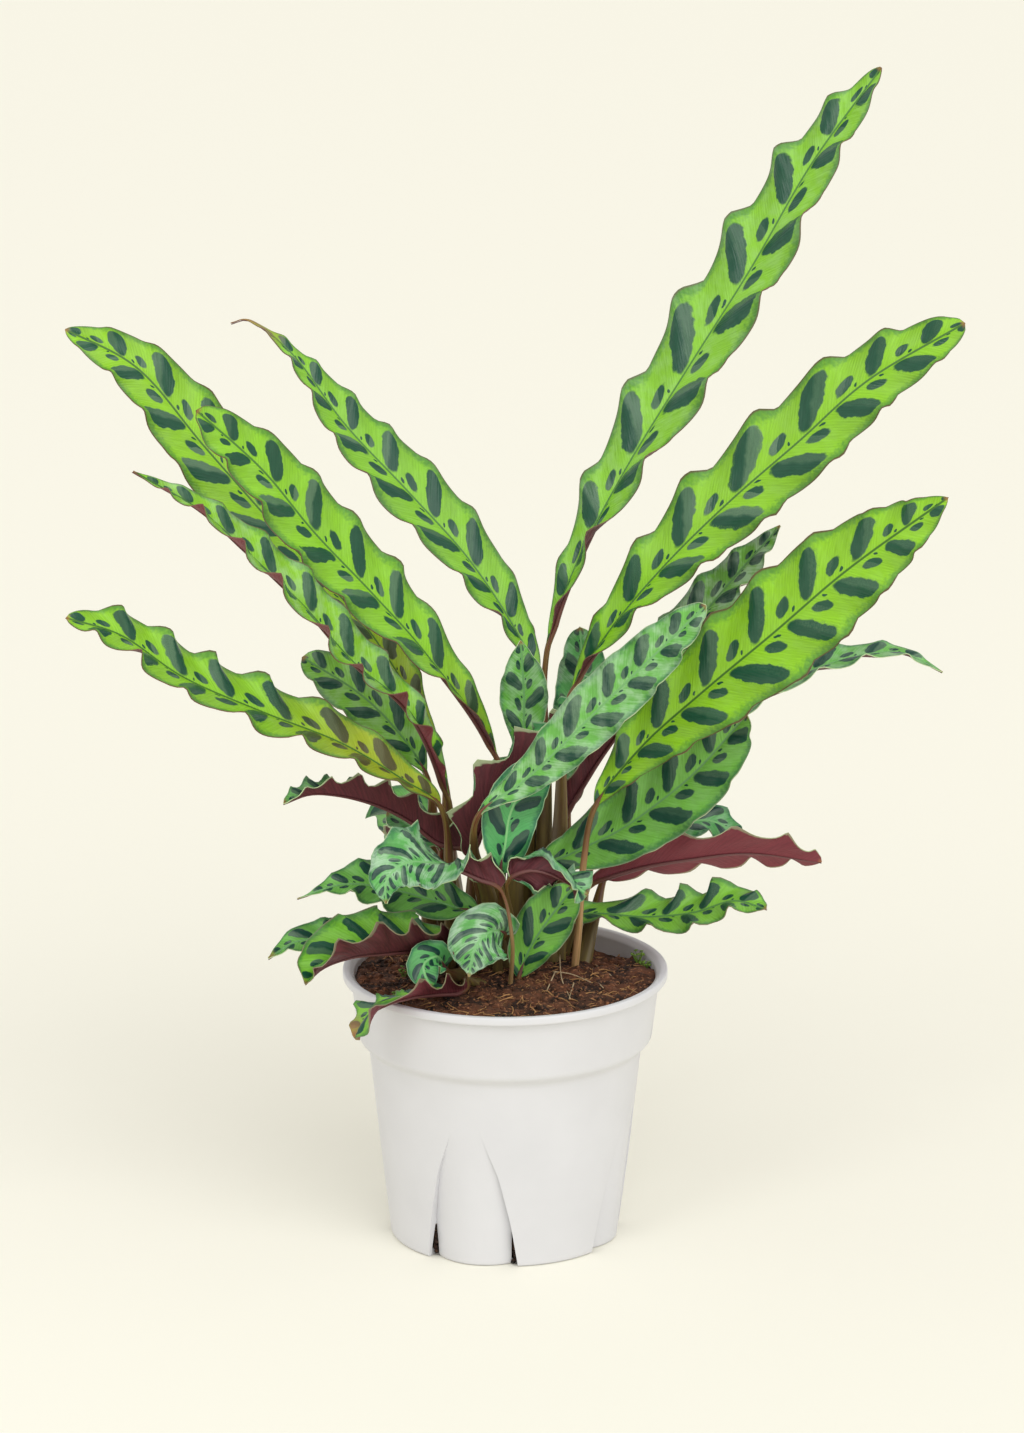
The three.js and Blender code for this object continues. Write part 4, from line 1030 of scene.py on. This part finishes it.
def tube(bm, points, radius, material_index):
    """A tube along points that thins to its end."""
    line = smooth_line(points)[::TUBE_STRIDE]
    mesh = bmesh.new()
    bmesh.ops.create_cone(mesh, cap_ends=True, segments=TUBE_SIDES, radius1=1, radius2=1, depth=2)
    long_edges = [e for e in mesh.edges if abs(e.verts[0].co.z - e.verts[1].co.z) > 1]
    bmesh.ops.subdivide_edges(mesh, edges=long_edges, cuts=len(line) - 2)
    for vert in mesh.verts:
        ring = round((vert.co.z + 1) / 2 * (len(line) - 1))
        along = line[min(ring + 1, len(line) - 1)] - line[max(ring - 1, 0)]
        turn = along.to_track_quat("Z", "Y")
        size = radius * (1 - TUBE_THINNING * ring / len(line))
        vert.co = line[ring] + turn @ Vector((vert.co.x * size, vert.co.y * size, 0))
    add_mesh(bm, small_mesh(mesh, material_index))


def lay_straw(bm, points):
    """A dry straw over points x, y and height above the soil, in millimetres."""
    line = []
    for x, y, rise in points:
        line.append(Vector((x * MM, y * MM, soil_height(x * MM, y * MM) + rise * MM)))
    tube(bm, line, STRAW_RADIUS * MM, STRAW_SLOT)


def grow_sprig(bm, x, y, height, spread, draw):
    """A tuft of moss or a seedling: short bent stems with a small oval leaf on each."""
    root = Vector((x * MM, y * MM, soil_height(x * MM, y * MM) - SPRIG_SINK * MM))
    for number in range(SPRIG_STEMS):
        angle = number * GOLDEN_ANGLE
        way = Vector((math.cos(angle), math.sin(angle), 0))
        aside = way * spread * MM * draw.uniform(*STEM_REACHES)
        top = root + aside + Vector((0, 0, height * MM * draw.uniform(*STEM_HEIGHTS)))
        stem = [root + aside * STEM_START, root.lerp(top, STEM_BEND), top]
        tube(bm, stem, MOSS_RADIUS * MM, MOSS_SLOT)
        leaf = bmesh.new()
        bmesh.ops.create_icosphere(leaf, subdivisions=1, radius=MM,
                                   matrix=Matrix.Diagonal((*MOSS_LEAF, 1)))
        lean = Euler((draw.uniform(-MOSS_LEAN, MOSS_LEAN), draw.uniform(-MOSS_LEAN, MOSS_LEAN), angle))
        leaf.transform(Matrix.LocRotScale(top, lean, (1, 1, 1)))
        add_mesh(bm, small_mesh(leaf, MOSS_SLOT))


def hang_root(bm):
    """The pale root that crosses the front left drain slot."""
    turn = next(slots())[1]
    radius = BASE_RADIUS - WALL - ROOT_INSET
    points = [turn @ (Vector((x, y - radius, z)) * MM) for x, y, z in ROOT_POINTS]
    tube(bm, points, ROOT_RADIUS * MM, STRAW_SLOT)


def fill_slots(bm, shapes, draw):
    """Packs the drain slots with crumbs that have washed into them."""
    for side, turn in slots():
        for number in range(SLOT_CRUMBS):
            aside = side * SLOT_WIDTH / 4 + draw.uniform(-SLOT_SPREAD, SLOT_SPREAD)
            deep = WALL + SLOT_CLEAR + draw.uniform(0, SLOT_DEPTH - SLOT_CLEAR - 1) - BASE_RADIUS
            place = Vector((aside, deep, draw.uniform(SLOT_LOW, SLOT_HEIGHT - 1)))
            size = draw.uniform(*SLOT_CRUMB_SIZES) * MM
            tilt = Euler((draw.uniform(0, SLOT_TILT), draw.uniform(0, SLOT_TILT), 0))
            copy = shapes[number % len(shapes)].copy()
            copy.transform(turn @ Matrix.LocRotScale(place * MM, tilt, (size, size, size)))
            add_mesh(bm, copy)


class PLANT_OT_soil(bpy.types.Operator):
    """Fill the pot with lumpy peat, crumbs and coir fibres"""
    bl_idname = "plant.soil"
    bl_label = "Soil"

    def execute(self, context):
        settings = context.scene.plant.soil
        draw = random.Random(4)
        inset = WALL + SOIL_WALL_GAP
        low = FLOOR + SOIL_FLOOR_GAP
        top = [(SOIL_EDGE_RADIUS * (1 - k / SOIL_ROWS), SOIL_EDGE_Z, 0, 0) for k in range(SOIL_ROWS + 1)]
        profile = [
            (0, low, 0, 0), *wall_rows(inset, inset, low, BULGE_ROWS[-1][0]),
            (BODY_TOP_RADIUS - inset, BODY_TOP_Z, 0, 0),
            (BAND_BOTTOM_RADIUS - inset - SOIL_FLOOR_GAP, BAND_BOTTOM_Z + 1, 0, 0),
            *top,
        ]
        bm = turn_profile(profile)
        for vert in bm.verts:
            if vert.co.z > (SOIL_EDGE_Z - SURFACE_TOLERANCE) * MM:
                vert.co.z = soil_height(vert.co.x, vert.co.y)
        crumbs = [crumb_shape(draw) for _ in range(CRUMB_SHAPES)]
        fibres = [fibre_shape(bend, kink) for bend, kink in FIBRE_BENDS]
        spread = (SOIL_EDGE_RADIUS - SCATTER_MARGIN) * MM
        clumps = settings.crumbs // CRUMBS_PER_CLUMP
        scatter(bm, crumbs, settings.crumbs, spread, CRUMB_SIZES, CRUMB_SINK, draw)
        scatter(bm, crumbs, clumps, spread, CLUMP_SIZES, CLUMP_SINK, draw)
        scatter(bm, fibres, settings.fibres, spread - FIBRE_MARGIN * MM, FIBRE_SIZES, FIBRE_SINK, draw)
        fill_slots(bm, crumbs, draw)
        for shape in crumbs + fibres:
            bpy.data.meshes.remove(shape)
        for points in STRAWS:
            lay_straw(bm, points)
        for x, y, height, spread in SPRIGS:
            grow_sprig(bm, x, y, height, spread, draw)
        hang_root(bm)
        materials = [moist_peat(settings), fibrous("dry_coir_fibre", settings.coir, 0.8, 3),
                     fibrous("dry_straw", settings.straw, 0.6, 6),
                     fibrous("fresh_moss", settings.moss, 0.7, 1)]
        finish_piece("peat_soil", bm, materials, "soil")
        return {"FINISHED"}


class PLANT_OT_bark_chip(bpy.types.Operator):
    """Shape the chip of bark that lies on the soil"""
    bl_idname = "plant.bark_chip"
    bl_label = "Bark chip"

    def execute(self, context):
        settings = context.scene.plant.soil
        bm = bmesh.new()
        bmesh.ops.create_cube(bm, size=1)
        bmesh.ops.subdivide_edges(bm, edges=bm.edges, cuts=BARK_CUTS, use_grid_fill=True)
        middle = (CHIP_LOW + CHIP_HIGH) / 2
        middle.z = soil_height(middle.x, middle.y) + BARK_RISE * MM
        turn = Matrix.Rotation(math.radians(BARK_TURN), 3, "Z")
        for vert in bm.verts:
            x, y, z = vert.co
            jag = sum(noise.noise(vert.co * count) * height for count, height in BARK_JAGS)
            taper = 1 - BARK_TAPER * abs(2 * x)
            long, wide, high = BARK_SIZE
            local = Vector((x * long, y * taper * wide, z * taper * high)) * (BARK_SHARE + jag) * MM
            vert.co = middle + turn @ local
        finish_piece("bark_flake", bm, [fibrous("dry_bark", settings.bark, 0.85, 1.5)],
                     "bark_chip")
        return {"FINISHED"}


def smooth_line(points):
    """A smooth line through all points, as many short steps: a centripetal Catmull-Rom curve."""
    ends = [points[0] * 2 - points[1], *points, points[-1] * 2 - points[-2]]
    line = []
    for a, b, c, d in zip(ends, ends[1:], ends[2:], ends[3:]):
        g0, g1, g2 = (max((q - p).length, 1e-9) ** 0.5 for p, q in ((a, b), (b, c), (c, d)))
        start = ((b - a) / g0 - (c - a) / (g0 + g1) + (c - b) / g1) * g1
        end = ((c - b) / g1 - (d - b) / (g1 + g2) + (d - c) / g2) * g1
        for k in range(LINE_STEPS):
            t = k / LINE_STEPS
            line.append(b * (2 * t**3 - 3 * t**2 + 1) + start * (t**3 - 2 * t**2 + t)
                        + c * (3 * t**2 - 2 * t**3) + end * (t**3 - t**2))
    return line + [points[-1].copy()]


def place_seen(column, row, depth, turn):
    """A point seen in the picture as x, y and z, to a millimetre, with the leaf's turn there."""
    away = CAMERA_DISTANCE + depth
    drop = away * math.tan(CAMERA_PITCH + math.atan((row - PICTURE_ROW) / PICTURE_FOCAL))
    distance = away * math.cos(CAMERA_PITCH) + drop * math.sin(CAMERA_PITCH)
    aside = (column - PICTURE_COLUMN) / PICTURE_FOCAL * distance
    return round(CAMERA_X + aside), depth, round(CAMERA_HEIGHT - drop), turn


class LeafLine:
    """The middle line of a leaf from the stalk's foot to the tip, in metres along its length."""

    def __init__(self, leaf):
        points = leaf.get("blade") or [place_seen(*point) for point in leaf["seen"]]
        blade = [Vector(point[:3]) * MM for point in points]
        stalk = [Vector(point) * MM for point in leaf["stalk"]]
        foot = Vector((*leaf["foot"], FOOT_Z)) * MM
        deep = foot + (foot - (stalk + blade)[0]).normalized() * STALK_DEPTH * MM
        self.line = smooth_line([deep, foot, *stalk, *blade])
        self.lengths = [0.0]
        for a, b in zip(self.line, self.line[1:]):
            self.lengths.append(self.lengths[-1] + (b - a).length)
        self.total = self.lengths[-1]
        first = (len(stalk) + 2) * LINE_STEPS
        places = [self.lengths[first + i * LINE_STEPS] for i in range(len(blade))]
        self.blade_start = places[0]
        self.turns = [(place, point[3]) for place, point in zip(places, points)]

    def at(self, length):
        """The point, the direction along the leaf, and its upper side and right there."""
        length = min(max(length, 0), self.total)
        low, high = 0, len(self.lengths) - 1
        while high - low > 1:
            half = (low + high) // 2
            if self.lengths[half] <= length:
                low = half
            else:
                high = half
        part = (length - self.lengths[low]) / (self.lengths[high] - self.lengths[low])
        point = self.line[low].lerp(self.line[high], part)
        before = self.line[high] - self.line[max(low - 1, 0)]
        after = self.line[min(high + 1, len(self.line) - 1)] - self.line[low]
        along = before.normalized().lerp(after.normalized(), part).normalized()
        front = (VIEWER - along * VIEWER.dot(along)).normalized()
        turn = math.radians(between(length, self.turns)[0])
        up = front * math.cos(turn) + along.cross(front) * math.sin(turn)
        return point, up, along.cross(up)


def half_width(leaf, part):
    """Half the blade's width at a part of its length: a slow start at the base and a blunt tip."""
    fullness = leaf["base"] + (leaf["blunt"] - leaf["base"]) * part
    return leaf["width"] / 2 * math.sin(math.pi * part ** leaf["skew"]) ** fullness


def ripple(phase):
    """Height of the ripples at a phase: a wave with a crease on its crest and a steep far flank."""
    near = (phase + 0.5) % 1 - 0.5
    leaned = phase + RIPPLE_LEAN * math.sin(2 * math.pi * phase)
    crease = CREASE_HEIGHT * math.exp(-abs(near) / CREASE_WIDTH)
    return RIPPLE_HEIGHT * math.cos(2 * math.pi * leaned) + crease


def scallop(phase, cusp):
    """How far the edge stands out: cusps on the crests, or for a minus sign lobes with a notch."""
    if cusp > 0:
        return cusp * (1 - 2 * abs(math.sin(math.pi * phase)))
    part = (phase - LOBE_START) % 1
    if part < LOBE_SHARE:
        return -cusp * (2 * part / LOBE_SHARE - 1)
    return -cusp * (1 - 2 * (part - LOBE_SHARE) / NOTCH_SHARE)


def fold_blade(bm, leaf, line, settings, seed):
    """Bends a flat grid into the rippled blade and gives it its pattern places."""
    length = line.total - line.blade_start
    rows = max(round(length / settings.mesh_step), LEAST_ROWS)
    half = settings.half_columns
    bmesh.ops.create_grid(bm, x_segments=rows, y_segments=2 * half, size=1)
    pattern = bm.loops.layers.uv.new("pattern")
    skin = bm.loops.layers.uv.new("skin")
    grid = {}
    for vert in bm.verts:
        grid[round((vert.co.x + 1) / 2 * rows), round(vert.co.y * half)] = vert
    place = {}
    counted, previous = 0.0, line.blade_start
    for row in range(rows + 1):
        share = row / rows
        part = share - math.sin(2 * math.pi * share) / (2 * math.pi) * ROW_EASE
        wide = max(half_width(leaf, part), LEAST_HALF_WIDTH)
        if part < COLLAR:
            wide = max(wide, STALK_TOP * COLLAR_FIT)
        along = line.blade_start + length * part
        spacing = leaf["spacing"] * (LEAST_SPACING + WIDTH_SPACING * 2 * wide / leaf["width"])
        counted += (along - previous) / MM / spacing
        previous = along
        point, up, right = line.at(along)
        fade = min(part / leaf["calm"], 1) * min((1 - part) / TIP_CALM, 1)
        cupped = leaf["cup"] * max(0, 1 - part / leaf["cup_end"]) ** CUP_POWER
        fold = leaf["fold"] + cupped
        curled = min(max(0, 1 - part / CURL_END) * CURL_STEEPNESS, 1)
        for side in (-1, 1):
            start = counted + (0.5 if side < 0 else 0)
            jitter = JITTER * noise.noise(Vector((start * JITTER_RATE, side, seed)))
            uneven = noise.noise(Vector((start * UNEVENNESS_RATE, 3 * side, seed + 5)))
            strength = 1 + UNEVENNESS * uneven
            out, lift, last = 0.0, 0.0, 0.0
            for column in range(half + 1):
                reach = (column / half) ** COLUMN_EASE
                angle = math.radians(fold + leaf["curl"] * curled * reach ** CURL_POWER)
                out += math.cos(angle) * (reach - last) * wide
                lift += math.sin(angle) * (reach - last) * wide
                last = reach
                aside = reach * wide
                phase = start + jitter - aside / math.tan(OVAL_SLANT) / spacing
                height = leaf["wave"] * strength * fade * reach ** RIPPLE_POWER
                height = height * ripple(phase - RIPPLE_LAG) * min(wide / NARROW, 1)
                swell_place = Vector((along / MM / SWELL_LENGTH, side * aside / SWELL_WIDTH, seed))
                swell = noise.noise(swell_place) * SWELL * reach
                groove = GROOVE_DEPTH * math.exp(-(aside / GROOVE_WIDTH) ** 2)
                groove *= min(wide / GROOVE_FULL_WIDTH, 1)
                pull = 1 + fade * reach ** 2 * scallop(phase, leaf["cusp"])
                across = out * pull - math.sin(angle) * height
                above = lift * pull + math.cos(angle) * (height + swell) - groove
                vert = grid[row, side * column]
                vert.co = point - right * (side * across * MM) + up * (above * MM)
                place[vert, side] = (phase, side * reach, (along - line.blade_start) / MM, side * aside)
    for face in bm.faces:
        side = 1 if sum(place.get((v, 1), (0, 0))[1] for v in face.verts) > 0 else -1
        for loop in face.loops:
            phase, reach, along, across = place[loop.vert, side]
            loop[pattern].uv = (phase, reach)
            loop[skin].uv = (along, across)


def thicken_blade(bm, thickness):
    """Gives the blade its thickness: the underside and the edge are extruded from the top."""
    down = bm.verts.layers.float_vector.new("down")
    bm.normal_update()
    for vert in bm.verts:
        vert[down] = -vert.normal * thickness
    upper = bm.faces[:]
    extruded = bmesh.ops.extrude_face_region(bm, geom=upper, use_keep_orig=True)["geom"]
    lower = [item for item in extruded if isinstance(item, bmesh.types.BMFace)]
    for item in extruded:
        if isinstance(item, bmesh.types.BMVert):
            item.co += item[down]
    caps = set(upper) | set(lower)
    for face in bm.faces:
        if face not in caps:
            face.material_index = 2
            for edge in face.edges:
                edge.smooth = False
    for face in lower:
        face.material_index = 1
    bmesh.ops.recalc_face_normals(bm, faces=bm.faces)
    bm.verts.layers.float_vector.remove(bm.verts.layers.float_vector["down"])


def grow_stalk(bm, leaf, line):
    """Adds the stalk, which runs on beneath the blade as its midrib and ends at the tip."""
    rings = max(round(line.total / (RING_STEP * MM)), LEAST_RINGS)
    part_layer = bm.verts.layers.float.new("stalk_part")
    for vert in bm.verts:
        vert[part_layer] = -1
    bmesh.ops.create_cone(bm, cap_ends=True, segments=STALK_SIDES, radius1=1, radius2=1, depth=2)
    long_edges = [e for e in bm.edges if e.verts[0][part_layer] == e.verts[1][part_layer] == 0
                  and abs(e.verts[0].co.z - e.verts[1].co.z) > 1]
    bmesh.ops.subdivide_edges(bm, edges=long_edges, cuts=rings - 1)
    fresh = [vert for vert in bm.verts if vert[part_layer] == 0]
    skin = bm.loops.layers.uv["skin"]
    faces = {face for vert in fresh for face in vert.link_faces}
    spots = {}
    start = line.blade_start
    for vert in fresh:
        ring = (vert.co.z + 1) / 2
        angle = math.atan2(vert.co.y, vert.co.x)
        along = line.total * ring
        point, up, right = line.at(along)
        if along < start:
            radius = (STALK_FOOT + (STALK_TOP - STALK_FOOT) * along / start) * leaf["slim"]
            sheath = leaf["sheath"] * max(0, 1 - along / start / SHEATH_END)
            radius += SHEATH_RISE * sheath
            wide = radius + sheath
            sunk = 0.0
            vert[part_layer] = along / start
        else:
            part = (along - start) / (line.total - start)
            radius = STALK_TOP + (RIB_TIP - STALK_TOP) * part ** RIB_POWER
            wide = radius
            sunk = min((along - start) / (RIB_SINKS_OVER * MM), 1) * (radius + RIB_DEPTH)
            vert[part_layer] = 1 + part
        spots[vert] = (along / MM, angle * 2)
        vert.co = point + (right * math.cos(angle) * wide + up * (math.sin(angle) * radius - sunk)) * MM
    for face in faces:
        face.material_index = 3
        for loop in face.loops:
            loop[skin].uv = spots[loop.vert]
    bmesh.ops.recalc_face_normals(bm, faces=list(faces))


class PLANT_OT_leaves(bpy.types.Operator):
    """Grow every leaf with its stalk, midrib and rippled blade"""
    bl_idname = "plant.leaves"
    bl_label = "Leaves"

    def execute(self, context):
        settings = context.scene.plant.leaf
        materials = [waxy_leaf(settings), velvety_underside(settings), leaf_edge(settings),
                     ribbed_stalk(settings)]
        for number, row in enumerate(LEAVES):
            leaf = {**USUAL_LEAF, **row}
            line = LeafLine(leaf)
            bm = bmesh.new()
            fold_blade(bm, leaf, line, settings, number * WAVE_SEED_STEP)
            thicken_blade(bm, settings.thickness)
            grow_stalk(bm, leaf, line)
            paint_leaf(bm, leaf, line, number)
            finish_piece(leaf["name"].replace("leaf_", "blade_"), bm, materials, leaf["name"])
        return {"FINISHED"}


def paint_leaf(bm, leaf, line, number):
    """Writes the leaf's tone, age, dryness, blush and seed on its points."""
    names = ("tone", "ageing", "dry_tip_and_slot_shade", "blush", "seed", "straw", "painted_glare")
    layers = {name: bm.verts.layers.float.new(name) for name in names}
    tip = line.line[-1]
    base = line.at(line.blade_start)[0]
    length = line.total - line.blade_start
    values = {name: leaf[name] for name in ("tone", "straw", "blush", "painted_glare")}
    values["seed"] = number * SEED_STEP
    for vert in bm.verts:
        near_tip = max(0, 1 - (vert.co - tip).length / MM / leaf["dry"])
        values["dry_tip_and_slot_shade"] = near_tip ** DRY_POWER
        near_base = max(0, 1 - (vert.co - base).length / (leaf["old"] * length))
        values["ageing"] = leaf["age"] * min(near_base * AGE_STEEPNESS, 1)
        for name, value in values.items():
            vert[layers[name]] = value


class PLANT_OT_stage(bpy.types.Operator):
    """Set up the pale floor, the soft light and the camera"""
    bl_idname = "plant.stage"
    bl_label = "Stage"

    def execute(self, context):
        settings = context.scene.plant.stage
        scene = context.scene
        scene.view_settings.view_transform = "Standard"
        bm = bmesh.new()
        bmesh.ops.create_circle(bm, cap_ends=True, segments=FLOOR_SIDES, radius=FLOOR_RADIUS)
        mesh = bpy.data.meshes.new("floor")
        mesh.materials.append(cream_floor(settings))
        bm.to_mesh(mesh)
        bm.free()
        floor = put("floor", mesh)

        world = bpy.data.worlds.new("soft_light")
        world.use_nodes = True
        sky = world.node_tree.nodes["Background"]
        sky.inputs["Color"].default_value = SKY_COLOUR
        sky.inputs["Strength"].default_value = settings.sky_strength
        scene.world = world

        sun = bpy.data.lights.new("key", "SUN")
        sun.energy = settings.key_strength
        sun.angle = math.radians(KEY_SPREAD)
        put("key", sun).rotation_euler = [math.radians(turn) for turn in KEY_TURN]

        panel = bpy.data.lights.new("window", "AREA")
        panel.energy = settings.window_power
        panel.size = WINDOW_SIZE
        window = put("window", panel)
        window.location = WINDOW_PLACE
        window.rotation_euler = [math.radians(turn) for turn in WINDOW_TURN]

        camera = bpy.data.cameras.new("camera")
        camera.lens = SENSOR * PICTURE_FOCAL / PICTURE_HEIGHT
        camera.sensor_width = SENSOR
        camera.clip_end = FAR_CLIP
        view = put("camera", camera)
        view.location = Vector((CAMERA_X, -CAMERA_DISTANCE, CAMERA_HEIGHT)) * MM
        view.rotation_euler = (math.pi / 2 - CAMERA_PITCH, 0, 0)
        scene.camera = view
        return {"FINISHED"}


class PLANT_PT_panel(bpy.types.Panel):
    """Sizes, colours and buttons of the potted plant"""
    bl_idname = "PLANT_PT_panel"
    bl_label = "Potted Rattlesnake Plant"
    bl_space_type = "VIEW_3D"
    bl_region_type = "UI"
    bl_category = "Plant"

    def draw(self, context):
        plant = context.scene.plant
        for title in ("pot", "soil", "leaf", "stage"):
            box = self.layout.box()
            box.label(text=title.title())
            group = getattr(plant, title)
            for name in group.bl_rna.properties.keys():
                if name not in ("rna_type", "name"):
                    box.prop(group, name)
        for step in STEPS:
            self.layout.operator(step.bl_idname)


SETTINGS = (PotSettings, SoilSettings, LeafSettings, StageSettings, PlantSettings)
STEPS = (PLANT_OT_pot, PLANT_OT_soil, PLANT_OT_bark_chip, PLANT_OT_leaves, PLANT_OT_stage)
CLASSES = (*SETTINGS, *STEPS, PLANT_PT_panel)


def register():
    for cls in CLASSES:
        bpy.utils.register_class(cls)
    bpy.types.Scene.plant = PointerProperty(type=PlantSettings)


def unregister():
    del bpy.types.Scene.plant
    for cls in reversed(CLASSES):
        bpy.utils.unregister_class(cls)


def main():
    register()
    bpy.ops.plant.pot()
    bpy.ops.plant.soil()
    bpy.ops.plant.bark_chip()
    bpy.ops.plant.leaves()
    bpy.ops.plant.stage()


if __name__ == "__main__":
    main()
